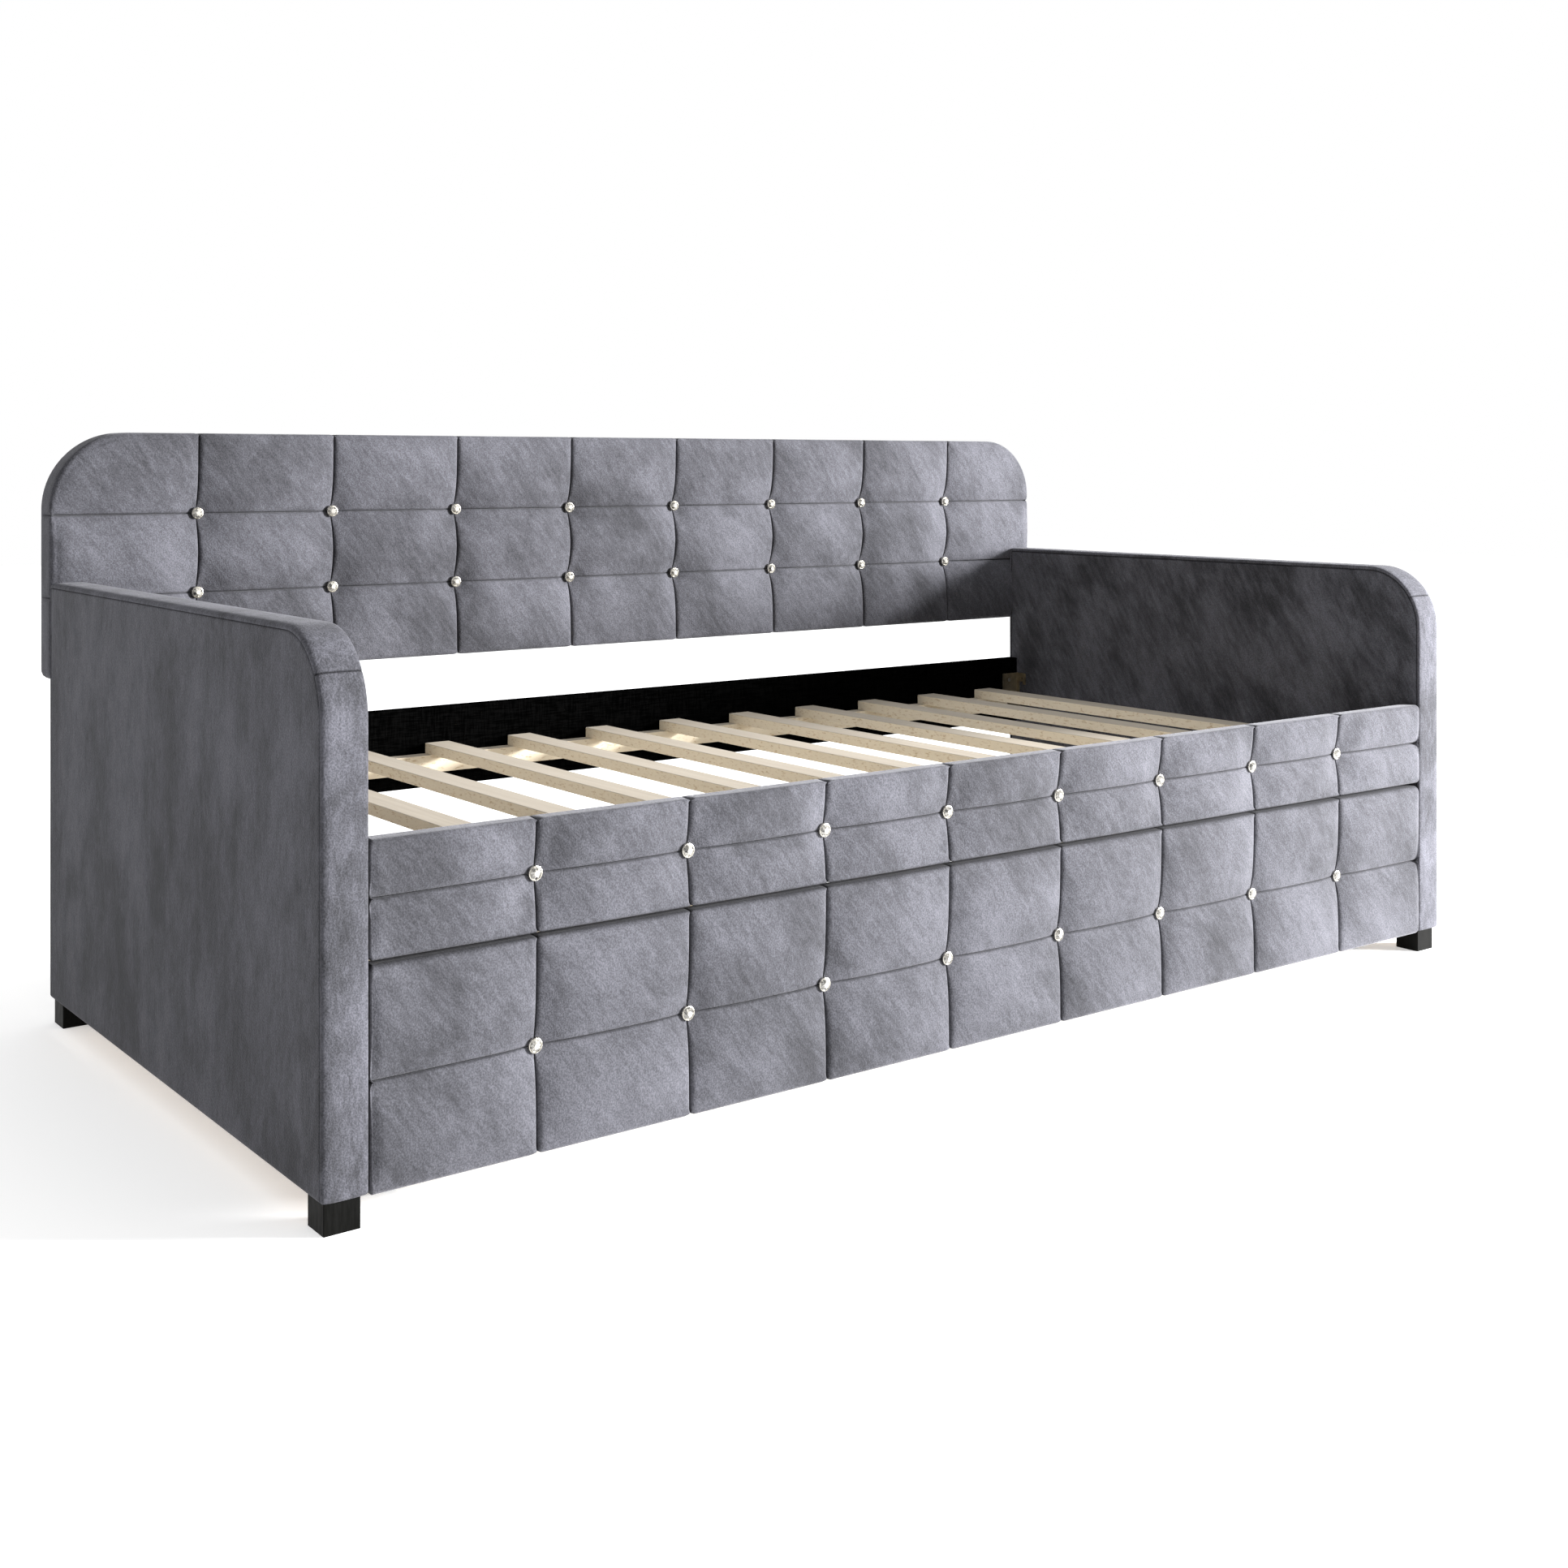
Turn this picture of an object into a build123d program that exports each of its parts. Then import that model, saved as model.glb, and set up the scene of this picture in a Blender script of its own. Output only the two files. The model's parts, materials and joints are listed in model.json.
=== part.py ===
"""Upholstered daybed with a roll-out trundle.

Millimetres. +X runs along the bed, to the right seen from the front, +Y to the back and +Z up.
The origin is on the floor, under the middle of the whole bed.
"""
import os

from build123d import *

os.makedirs("parts", exist_ok=True)

# ---- whole bed ----
half_depth = 540.0        # front of the tufted pads to the back of the backrest, halved
half_inside = 983.0       # arm to arm is 1966: a 1905 twin mattress and its bedding
arm_thick = 55.0
half_length = half_inside + arm_thick
bed_height = 901.0

# ---- arms ----
arm_front = -532.0
arm_back = 490.0
arm_top = 670.0
leg_height = 37.0
arm_corner = 105.0        # big radius where the arm's front turns into its top
arm_back_corner = 10.0
arm_padding = 12.0        # foam and velvet on the arm's faces and round its edge
core_x = (half_inside + arm_padding, half_length - arm_padding)
core_middle = (half_inside + half_length) / 2

# ---- legs ----
leg_size = 44.0
leg_side_inset = 5.0
leg_front_inset = 6.0
leg_back_inset = 10.0
leg_x = half_length - leg_side_inset - leg_size / 2
leg_front_y = arm_front + leg_front_inset + leg_size / 2
leg_back_y = arm_back - leg_back_inset - leg_size / 2
leg_bolt_radius = 4.0
leg_bolt_depth = 32.0     # into the leg
leg_bolt_grip = 38.0      # into the arm

# ---- backrest ----
back_bottom = 519.0
back_corner = 120.0
back_bottom_corner = 6.0
back_pad = 20.0           # foam between the board and the arms' back ends
back_crown = 6.0          # the pad stands this far in front of the arms' back ends
arm_clearance = 0.3
back_cover = 2.0
back_wrap = 4.0           # velvet and wadding turned over the board's edge
back_button_pitch = 229.9
back_button_rise = 127.2
back_button_height = 709.1
back_button_recess = 8.0
back_bolt_heights = (560.0, 630.0)
back_bolt_radius = 4.0
back_bolt_grip = 55.0     # into the arm
back_bolt_head = 9.0

# ---- tufted front panels: the rail above and the trundle's front below ----
panel_half = 982.0        # half length of the front rail
trundle_half = 981.0      # half length of the trundle's front, 2 mm clear of the arms
panel_back = -505.0
panel_pad = 22.0
panel_lining = 1.0
panel_wrap = 3.0
panel_corner = 8.0
panel_button_pitch = 218.7
panel_button_recess = 16.0
rail_low = 299.0
rail_high = 432.0
trundle_low = 34.0
trundle_high = 288.0      # 11 mm finger gap under the rail
button_radius = 9.5
button_neck = 3.0
pocket_radius = 11.0

# ---- rear rail ----
rear_rail_front = 465.5
rear_rail_low = 297.0
rear_rail_high = 433.0
rear_cover = 2.0

# ---- mattress deck ----
slat_count = 12
slat_pitch = 159.7
slat_width = 45.0
slat_thick = 18.0
slat_top = 373.5
slat_front = -502.5
slat_back = 463.0
ledger_wide = 25.0
ledger_tall = 30.0
ledger_half = 930.0
ledger_top = slat_top - slat_thick

# ---- hook brackets that hang the rails on the arms ----
bracket_thick = 2.0
bracket_wide = 44.0
bracket_top = 401.0
bracket_low = 311.0
bracket_strip = 8.5
bracket_reach = 27.0
hook_wide = 8.0
hook_bar = 10.0
hook_drop = 24.0
hook_spacing = 45.0
pin_radius = 4.5
pin_grip = 30.0           # into the arm
pin_drop = hook_bar + pin_radius + 0.2
pin_reach = (bracket_strip + bracket_reach - hook_wide) / 2

# ---- screws ----
screw_radius = 2.0
screw_head = 4.0
screw_slack = 0.1
bracket_screw_x = 958.0
bracket_screw_spacing = 31.0
rail_screw_grip = 12.0
ledger_screw_length = 35.0
slat_screw_length = 42.0

# ---- trundle ----
side_x = (957.0, 975.0)
side_low = 40.0
side_high = 150.0
trundle_back = 485.0
trundle_board = side_x[1] - side_x[0]
trundle_inner_back = trundle_back - trundle_board
trundle_slat_top = 124.0
trundle_slat_back = trundle_inner_back - 2.5
trundle_ledger_top = trundle_slat_top - slat_thick
angle_wide = 32.0
angle_low = 112.0
angle_high = 146.0
block_x = 80.0
block_y = 130.0           # long enough to set the casters back out of sight
block_thick = 14.0
block_low = 62.0          # underside of the blocks, and the casters' mounting height

# ---- fixed casters ----
wheel_radius = 25.0
wheel_width = 19.0
wheel_hub = 11.0
wheel_dish = 2.0
axle_radius = 3.0
axle_slack = 0.06
axle_head = 4.5
cheek_gap = 22.0
cheek_thick = 2.0
cheek_wide = 26.0
cheek_foot = 7.5
plate_x = 60.0
plate_y = 50.0
caster_x = side_x[0] - block_x / 2
caster_front_y = panel_back + block_y / 2
caster_back_y = trundle_inner_back - block_y / 2
plate_screw_x = 46.0
plate_screw_y = 36.0

SIDES = {"left": -1, "right": 1}
ENDS = {"front": caster_front_y, "rear": caster_back_y}


def save(part, name):
    """Label a finished piece and write it as its own STEP file."""
    part.label = name
    export_step(part, f"parts/{name}.step")


def span(low, high):
    """Low and high ends of a range in rising order."""
    return (min(low, high), max(low, high))


def bar(x, y, z, mode=Mode.ADD):
    """A rectangular bar that fills the ranges x, y and z."""
    with Locations(((x[0] + x[1]) / 2, (y[0] + y[1]) / 2, (z[0] + z[1]) / 2)):
        Box(x[1] - x[0], y[1] - y[0], z[1] - z[0], mode=mode)


def rod(start, direction, radius, length, mode=Mode.ADD):
    """A round rod, or a drilled hole, from start along direction."""
    with BuildSketch(Plane(origin=start, z_dir=direction)) as round_end:
        Circle(radius)
    extrude(round_end.sketch, amount=length, mode=mode)


def screw(start, direction, length, slack=0.0, mode=Mode.ADD):
    """A countersunk screw whose flat head is at start, or its hole when slack is given."""
    rod(start, direction, screw_radius + slack, length + slack, mode=mode)
    seat = Plane(origin=start, z_dir=direction)
    with BuildSketch(seat) as head:
        Circle(screw_head + slack)
    with BuildSketch(seat.offset(bracket_thick)) as neck:
        Circle(screw_radius + slack)
    loft([head.sketch, neck.sketch], mode=mode)


# ---------------------------------------------------------------- arms

def arm_sketch(x, inset):
    """Side outline of an arm, drawn in toward its middle by inset all round but at the bottom."""
    front = arm_front + inset
    back = arm_back - inset
    top = arm_top - inset
    with BuildSketch(Plane.YZ.offset(x)) as outline:
        with Locations(((front + back) / 2, (leg_height + top) / 2)):
            Rectangle(back - front, top - leg_height)
        fillet(vertices().group_by(Axis.Y)[-1].sort_by(Axis.X)[0], arm_corner - inset)
        if arm_back_corner > inset:
            fillet(vertices().group_by(Axis.Y)[-1].sort_by(Axis.X)[-1], arm_back_corner - inset)
    return outline.sketch


def hook_pin_places():
    """Height and place along Y of each pin that a rail's hooks drop over."""
    front = panel_back + pin_reach
    rear = rear_rail_front - pin_reach
    top = bracket_top - pin_drop
    return [(y, z) for y in (front, rear) for z in (top, top - hook_spacing)]


def drill_hook_pins(side):
    """Holes for the hook pins, through the arm's inner padding into its core."""
    for y, z in hook_pin_places():
        start = (side * half_inside, y, z)
        rod(start, (side, 0, 0), pin_radius + screw_slack, pin_grip + screw_slack, Mode.SUBTRACT)


def drill_back_bolts(side):
    """Holes for the bolts that hold the backrest, in from the arm's back."""
    for z in back_bolt_heights:
        start = (side * core_middle, arm_back, z)
        depth = back_bolt_grip + screw_slack
        rod(start, (0, -1, 0), back_bolt_radius + screw_slack, depth, Mode.SUBTRACT)


for side_name, side in SIDES.items():
    outer_low = span(side * core_x[1], side * half_length)[0]
    inner_low = span(side * half_inside, side * core_x[0])[0]

    with BuildPart() as arm_core:
        core_low = span(side * core_x[0], side * core_x[1])[0]
        extrude(arm_sketch(core_low, arm_padding), amount=core_x[1] - core_x[0])
        drill_hook_pins(side)
        drill_back_bolts(side)
        for y in (leg_front_y, leg_back_y):
            start = (side * leg_x, y, leg_height)
            depth = leg_bolt_grip + screw_slack
            rod(start, (0, 0, 1), leg_bolt_radius + screw_slack, depth, Mode.SUBTRACT)
    save(arm_core.part, f"{side_name}_arm_core")

    with BuildPart() as arm_outer_pad:
        extrude(arm_sketch(outer_low, arm_padding), amount=arm_padding)
    save(arm_outer_pad.part, f"{side_name}_arm_outer_pad")

    with BuildPart() as arm_inner_pad:
        extrude(arm_sketch(inner_low, arm_padding), amount=arm_padding)
        drill_hook_pins(side)
    save(arm_inner_pad.part, f"{side_name}_arm_inner_pad")

    with BuildPart() as arm_border:
        border_low = span(side * half_inside, side * half_length)[0]
        extrude(arm_sketch(border_low, 0), amount=arm_thick)
        extrude(arm_sketch(border_low, arm_padding), amount=arm_thick, mode=Mode.SUBTRACT)
        drill_back_bolts(side)
    save(arm_border.part, f"{side_name}_arm_border")

    # ------------------------------------------------------------ legs under this arm
    for end_name, y in {"front": leg_front_y, "rear": leg_back_y}.items():
        with BuildPart() as leg:
            with BuildSketch(Plane((side * leg_x, y, 0))):
                Rectangle(leg_size, leg_size)
            extrude(amount=leg_height)
            chamfer(leg.edges().filter_by(Axis.Z), length=1)
            start = (side * leg_x, y, leg_height)
            depth = leg_bolt_depth + screw_slack
            rod(start, (0, 0, -1), leg_bolt_radius + screw_slack, depth, Mode.SUBTRACT)
        save(leg.part, f"{end_name}_{side_name}_leg")

with BuildPart() as leg_bolts:
    for side in SIDES.values():
        for y in (leg_front_y, leg_back_y):
            start = (side * leg_x, y, leg_height - leg_bolt_depth)
            rod(start, (0, 0, 1), leg_bolt_radius, leg_bolt_depth + leg_bolt_grip)
save(leg_bolts.part, "leg_bolts")

with BuildPart() as hook_pins:
    for side in SIDES.values():
        for y, z in hook_pin_places():
            start = (side * (half_inside - bracket_thick), y, z)
            rod(start, (side, 0, 0), pin_radius, bracket_thick + pin_grip)
save(hook_pins.part, "hook_pins")


# ---------------------------------------------------------------- backrest

def back_sketch(y, inset):
    """Front outline of the backrest at depth y, drawn in by inset all round."""
    width = 2 * (half_length - inset)
    tall = bed_height - back_bottom - 2 * inset
    with BuildSketch(Plane.XZ.offset(-y)) as outline:
        with Locations((0, (bed_height + back_bottom) / 2)):
            Rectangle(width, tall)
        fillet(vertices().group_by(Axis.Y)[-1], back_corner - inset)
        if back_bottom_corner > inset:
            fillet(vertices().group_by(Axis.Y)[0], back_bottom_corner - inset)
    return outline.sketch


def drill_through_back(radius, depth):
    """Holes for the backrest's bolts, in from its back face."""
    for side in SIDES.values():
        for z in back_bolt_heights:
            start = (side * core_middle, half_depth, z)
            rod(start, (0, -1, 0), radius, depth, Mode.SUBTRACT)


back_board_front = arm_back + back_pad
back_thick = half_depth - arm_back
bolt_head_seat = half_depth - back_cover - 6.0

with BuildPart() as backrest_pad:
    extrude(back_sketch(half_depth, 0), amount=back_thick)
    wrapped = back_sketch(half_depth, back_wrap)
    extrude(wrapped, amount=back_thick - back_pad, mode=Mode.SUBTRACT)
    extrude(back_sketch(arm_back, back_wrap), amount=back_crown)
    for side in SIDES.values():
        bar(
            span(side * (half_inside - arm_clearance), side * half_length),
            (arm_back - back_crown, arm_back),
            (back_bottom, arm_top + arm_clearance),
            mode=Mode.SUBTRACT,
        )
    with BuildSketch(Plane.XZ.offset(-back_board_front)):
        with Locations((0, back_button_height)):
            with GridLocations(back_button_pitch, back_button_rise, 8, 2):
                Circle(pocket_radius)
    extrude(amount=back_pad + back_crown, mode=Mode.SUBTRACT)
    drill_through_back(back_bolt_radius + screw_slack, back_thick)
save(backrest_pad.part, "backrest_pad")

with BuildPart() as backrest_board:
    wrapped = back_sketch(half_depth - back_cover, back_wrap)
    extrude(wrapped, amount=back_thick - back_pad - back_cover)
    drill_through_back(back_bolt_radius + screw_slack, back_thick)
    drill_through_back(back_bolt_head + screw_slack, half_depth - bolt_head_seat)
save(backrest_board.part, "backrest_board")

with BuildPart() as backrest_back_cover:
    extrude(back_sketch(half_depth, back_wrap), amount=back_cover)
    drill_through_back(back_bolt_head + screw_slack, back_cover)
save(backrest_back_cover.part, "backrest_back_cover")

with BuildPart() as backrest_bolts:
    for side in SIDES.values():
        for z in back_bolt_heights:
            head = (side * core_middle, bolt_head_seat + 5.0, z)
            rod(head, (0, -1, 0), back_bolt_head, 5.0)
            shank = bolt_head_seat - arm_back + back_bolt_grip
            rod((head[0], bolt_head_seat, z), (0, -1, 0), back_bolt_radius, shank)
save(backrest_bolts.part, "backrest_bolts")


# ---------------------------------------------------------------- tufting buttons

def button_row(face_y, neck_end_y, height, pitch, rows, rise, head_thick):
    """Buttons facing the front: a chamfered round head and a neck back to the board."""
    with BuildSketch(Plane.XZ.offset(-face_y - head_thick)) as heads:
        with Locations((0, height)):
            with GridLocations(pitch, rise, 8, rows):
                Circle(button_radius)
    extrude(heads.sketch, amount=head_thick)
    chamfer(faces().sort_by(Axis.Y)[:8 * rows].edges(), length=2)
    with BuildSketch(Plane.XZ.offset(-neck_end_y)) as necks:
        with Locations((0, height)):
            with GridLocations(pitch, rise, 8, rows):
                Circle(button_neck)
    extrude(necks.sketch, amount=neck_end_y - face_y - head_thick)


with BuildPart() as backrest_buttons:
    button_row(
        arm_back + back_button_recess, back_board_front,
        back_button_height, back_button_pitch, 2, back_button_rise, 6.0,
    )
save(backrest_buttons.part, "backrest_buttons")


# ---------------------------------------------------------------- tufted front panels

def panel_sketch(y, half, low, high, inset):
    """Front outline of a tufted panel at depth y, drawn in by inset all round."""
    with BuildSketch(Plane.XZ.offset(-y)) as outline:
        with Locations((0, (low + high) / 2)):
            RectangleRounded(2 * (half - inset), high - low - 2 * inset, panel_corner - inset)
    return outline.sketch


def tufted_panel(name, half, low, high):
    """Board, pad with button pockets, back lining and buttons of one front panel."""
    middle = (low + high) / 2
    panel_front = -half_depth
    board_front = panel_front + panel_pad
    thick = panel_back - panel_front

    with BuildPart() as pad:
        extrude(panel_sketch(panel_back, half, low, high, 0), amount=thick)
        wrapped = panel_sketch(panel_back, half, low, high, panel_wrap)
        extrude(wrapped, amount=thick - panel_pad, mode=Mode.SUBTRACT)
        with BuildSketch(Plane.XZ.offset(-board_front)):
            with Locations((0, middle)):
                with GridLocations(panel_button_pitch, 0, 8, 1):
                    Circle(pocket_radius)
        extrude(amount=panel_pad, mode=Mode.SUBTRACT)
    save(pad.part, f"{name}_pad")

    with BuildPart() as board:
        wrapped = panel_sketch(panel_back - panel_lining, half, low, high, panel_wrap)
        extrude(wrapped, amount=thick - panel_pad - panel_lining)
        drill_front_screws(low)
    save(board.part, f"{name}_board")

    with BuildPart() as lining:
        extrude(panel_sketch(panel_back, half, low, high, panel_wrap), amount=panel_lining)
        drill_front_screws(low)
    save(lining.part, f"{name}_lining")

    with BuildPart() as buttons:
        button_row(
            panel_front + panel_button_recess, board_front,
            middle, panel_button_pitch, 1, 0, 5.0,
        )
    save(buttons.part, f"{name}_buttons")


# ---------------------------------------------------------------- where screws go

def ledger_screw_xs():
    """Places along X of the screws through a ledger, midway between slats."""
    return [2 * slat_pitch * (i - 2.5) for i in range(6)]


def slat_xs():
    """Middle of each slat along X."""
    return [slat_pitch * (i - (slat_count - 1) / 2) for i in range(slat_count)]


def ledger_screws_at(face_y, direction, top, slack=0.0, mode=Mode.ADD):
    """Screws along Y through a ledger whose free side is at face_y."""
    for x in ledger_screw_xs():
        start = (x, face_y, top - ledger_tall / 2)
        screw(start, (0, direction, 0), ledger_screw_length, slack, mode)


def bracket_screws_at(face_y, direction, slack=0.0, mode=Mode.ADD):
    """Three screws along Y through each hook bracket's plate on one rail."""
    middle = (bracket_top + bracket_low) / 2
    for side in SIDES.values():
        for i in range(3):
            z = middle + (i - 1) * bracket_screw_spacing
            start = (side * bracket_screw_x, face_y, z)
            screw(start, (0, direction, 0), rail_screw_grip, slack, mode)


angle_screw_x = side_x[0] - angle_wide / 2
angle_screw_heights = (angle_low + 9.0, angle_high - 9.0)


def angle_screws(slack=0.0, mode=Mode.ADD):
    """Screws of the angle brackets that join the trundle's sides to its front panel."""
    for side in SIDES.values():
        for z in angle_screw_heights:
            to_panel = (side * angle_screw_x, panel_back + bracket_thick, z)
            screw(to_panel, (0, -1, 0), rail_screw_grip, slack, mode)
            to_side = (side * (side_x[0] - bracket_thick), panel_back + angle_wide / 2, z)
            screw(to_side, (side, 0, 0), rail_screw_grip, slack, mode)


def drill_front_screws(low):
    """Screw holes in a front panel: the rail's brackets and ledger, or the trundle's."""
    if low == rail_low:
        ledger_screws_at(panel_back + ledger_wide, -1, ledger_top, screw_slack, Mode.SUBTRACT)
        bracket_screws_at(panel_back + bracket_thick, -1, screw_slack, Mode.SUBTRACT)
    else:
        face = panel_back + ledger_wide
        ledger_screws_at(face, -1, trundle_ledger_top, screw_slack, Mode.SUBTRACT)
        angle_screws(screw_slack, Mode.SUBTRACT)


tufted_panel("front_rail", panel_half, rail_low, rail_high)
tufted_panel("trundle_front", trundle_half, trundle_low, trundle_high)


# ---------------------------------------------------------------- rear rail

with BuildPart() as rear_rail_board:
    bar(
        (-panel_half, panel_half),
        (rear_rail_front + rear_cover, arm_back - rear_cover),
        (rear_rail_low + rear_cover, rear_rail_high - rear_cover),
    )
    ledger_screws_at(rear_rail_front - ledger_wide, 1, ledger_top, screw_slack, Mode.SUBTRACT)
    bracket_screws_at(rear_rail_front - bracket_thick, 1, screw_slack, Mode.SUBTRACT)
save(rear_rail_board.part, "rear_rail_board")

with BuildPart() as rear_rail_cover:
    bar((-panel_half, panel_half), (rear_rail_front, arm_back), (rear_rail_low, rear_rail_high))
    fillet(rear_rail_cover.edges().filter_by(Axis.X), radius=1.8)
    bar(
        (-panel_half, panel_half),
        (rear_rail_front + rear_cover, arm_back - rear_cover),
        (rear_rail_low + rear_cover, rear_rail_high - rear_cover),
        mode=Mode.SUBTRACT,
    )
    ledger_screws_at(rear_rail_front - ledger_wide, 1, ledger_top, screw_slack, Mode.SUBTRACT)
    bracket_screws_at(rear_rail_front - bracket_thick, 1, screw_slack, Mode.SUBTRACT)
save(rear_rail_cover.part, "rear_rail_cover")


# ---------------------------------------------------------------- ledgers and slats

def slat_screws_at(middle_y, top, slack=0.0, mode=Mode.ADD):
    """Screws up through a ledger into the slats, at the ledger's middle."""
    for x in slat_xs():
        start = (x, middle_y, top - ledger_tall)
        screw(start, (0, 0, 1), slat_screw_length, slack, mode)


def ledger(name, y_low, half, top, free_face, direction):
    """A square batten screwed to a rail, with the slats screwed down on it from below."""
    with BuildPart() as batten:
        bar((-half, half), (y_low, y_low + ledger_wide), (top - ledger_tall, top))
        ledger_screws_at(free_face, direction, top, screw_slack, Mode.SUBTRACT)
        slat_screws_at(y_low + ledger_wide / 2, top, screw_slack, Mode.SUBTRACT)
    save(batten.part, name)


front_seat = panel_back + ledger_wide / 2
rear_seat = rear_rail_front - ledger_wide / 2
trundle_rear_seat = trundle_inner_back - ledger_wide / 2

ledger("front_ledger", panel_back, ledger_half, ledger_top, panel_back + ledger_wide, -1)
rear_ledger_low = rear_rail_front - ledger_wide
ledger("rear_ledger", rear_ledger_low, ledger_half, ledger_top, rear_ledger_low, 1)

for number, x in enumerate(slat_xs(), start=1):
    with BuildPart() as slat:
        bar(
            (x - slat_width / 2, x + slat_width / 2),
            (slat_front, slat_back),
            (slat_top - slat_thick, slat_top),
        )
        chamfer(slat.edges().filter_by(Axis.Y), length=0.8)
        for y in (front_seat, rear_seat):
            start = (x, y, ledger_top)
            depth = slat_screw_length - ledger_tall + screw_slack
            rod(start, (0, 0, 1), screw_radius + screw_slack, depth, Mode.SUBTRACT)
    save(slat.part, f"slat_{number:02d}")


# ---------------------------------------------------------------- hook brackets

def hook_bracket(side, rail_face, away):
    """Angle bracket: a plate on the rail and two hooks on the arm. away is +1 toward +Y."""
    arm_leg_x = span(side * half_inside, side * (half_inside - bracket_thick))
    plate_x_range = span(side * (half_inside - bracket_wide), side * half_inside)
    bar(plate_x_range, span(rail_face, rail_face + away * bracket_thick), (bracket_low, bracket_top))
    strip = span(rail_face, rail_face + away * bracket_strip)
    bar(arm_leg_x, strip, (bracket_low, bracket_top))
    for top in (bracket_top, bracket_top - hook_spacing):
        reach = span(rail_face, rail_face + away * bracket_reach)
        bar(arm_leg_x, reach, (top - hook_bar, top))
        tip = span(
            rail_face + away * (bracket_reach - hook_wide),
            rail_face + away * bracket_reach,
        )
        bar(arm_leg_x, tip, (top - hook_drop, top))


with BuildPart() as rail_hook_brackets:
    for side in SIDES.values():
        hook_bracket(side, panel_back, 1)
        hook_bracket(side, rear_rail_front, -1)
    bracket_screws_at(panel_back + bracket_thick, -1, screw_slack, Mode.SUBTRACT)
    bracket_screws_at(rear_rail_front - bracket_thick, 1, screw_slack, Mode.SUBTRACT)
save(rail_hook_brackets.part, "rail_hook_brackets")

with BuildPart() as frame_screws:
    bracket_screws_at(panel_back + bracket_thick, -1)
    bracket_screws_at(rear_rail_front - bracket_thick, 1)
    ledger_screws_at(panel_back + ledger_wide, -1, ledger_top)
    ledger_screws_at(rear_ledger_low, 1, ledger_top)
    slat_screws_at(front_seat, ledger_top)
    slat_screws_at(rear_seat, ledger_top)
save(frame_screws.part, "frame_screws")


# ---------------------------------------------------------------- trundle box

def corner_screws(slack=0.0, mode=Mode.ADD):
    """Screws along X through the trundle's sides into the ends of its rear rail."""
    middle = (side_low + side_high) / 2
    for side in SIDES.values():
        for z in (middle - 25, middle + 25):
            start = (side * side_x[1], trundle_back - trundle_board / 2, z)
            screw(start, (-side, 0, 0), trundle_board + 30, slack, mode)


def caster_places():
    """Middle of each caster on the floor."""
    return [(side * caster_x, y) for side in SIDES.values() for y in ENDS.values()]


def plate_screws(slack=0.0, mode=Mode.ADD):
    """Four screws up through each caster's plate into its corner block."""
    for x, y in caster_places():
        for dx in (-plate_screw_x / 2, plate_screw_x / 2):
            for dy in (-plate_screw_y / 2, plate_screw_y / 2):
                start = (x + dx, y + dy, block_low - bracket_thick)
                screw(start, (0, 0, 1), block_thick - 1, slack, mode)


for side_name, side in SIDES.items():
    with BuildPart() as trundle_side:
        x_range = span(side * side_x[0], side * side_x[1])
        bar(x_range, (panel_back, trundle_back), (side_low, side_high))
        corner_screws(screw_slack, Mode.SUBTRACT)
        angle_screws(screw_slack, Mode.SUBTRACT)
    save(trundle_side.part, f"trundle_{side_name}_side")

with BuildPart() as trundle_rear_rail:
    bar((-side_x[0], side_x[0]), (trundle_inner_back, trundle_back), (side_low, side_high))
    corner_screws(screw_slack, Mode.SUBTRACT)
    free_face = trundle_inner_back - ledger_wide
    ledger_screws_at(free_face, 1, trundle_ledger_top, screw_slack, Mode.SUBTRACT)
save(trundle_rear_rail.part, "trundle_rear_rail")

front_face = panel_back + ledger_wide
rear_face = trundle_inner_back - ledger_wide
ledger("trundle_front_ledger", panel_back, side_x[0], trundle_ledger_top, front_face, -1)
ledger("trundle_rear_ledger", rear_face, side_x[0], trundle_ledger_top, rear_face, 1)

with BuildPart() as trundle_slats:
    for x in slat_xs():
        bar(
            (x - slat_width / 2, x + slat_width / 2),
            (slat_front, trundle_slat_back),
            (trundle_ledger_top, trundle_slat_top),
        )
        for y in (front_seat, trundle_rear_seat):
            start = (x, y, trundle_ledger_top)
            depth = slat_screw_length - ledger_tall + screw_slack
            rod(start, (0, 0, 1), screw_radius + screw_slack, depth, Mode.SUBTRACT)
save(trundle_slats.part, "trundle_slats")

with BuildPart() as trundle_corner_brackets:
    for side in SIDES.values():
        leg_range = span(side * (side_x[0] - angle_wide), side * side_x[0])
        bar(leg_range, (panel_back, panel_back + bracket_thick), (angle_low, angle_high))
        side_range = span(side * (side_x[0] - bracket_thick), side * side_x[0])
        bar(side_range, (panel_back, panel_back + angle_wide), (angle_low, angle_high))
    angle_screws(screw_slack, Mode.SUBTRACT)
save(trundle_corner_brackets.part, "trundle_corner_brackets")

with BuildPart() as trundle_corner_blocks:
    for x, y in caster_places():
        with BuildSketch(Plane((x, y, block_low))):
            Rectangle(block_x, block_y)
        extrude(amount=block_thick)
    plate_screws(screw_slack, Mode.SUBTRACT)
save(trundle_corner_blocks.part, "trundle_corner_blocks")

with BuildPart() as trundle_screws:
    corner_screws()
    angle_screws()
    plate_screws()
    ledger_screws_at(front_face, -1, trundle_ledger_top)
    ledger_screws_at(rear_face, 1, trundle_ledger_top)
    slat_screws_at(front_seat, trundle_ledger_top)
    slat_screws_at(trundle_rear_seat, trundle_ledger_top)
save(trundle_screws.part, "trundle_screws")


# ---------------------------------------------------------------- casters

plate_low = block_low - bracket_thick

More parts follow.
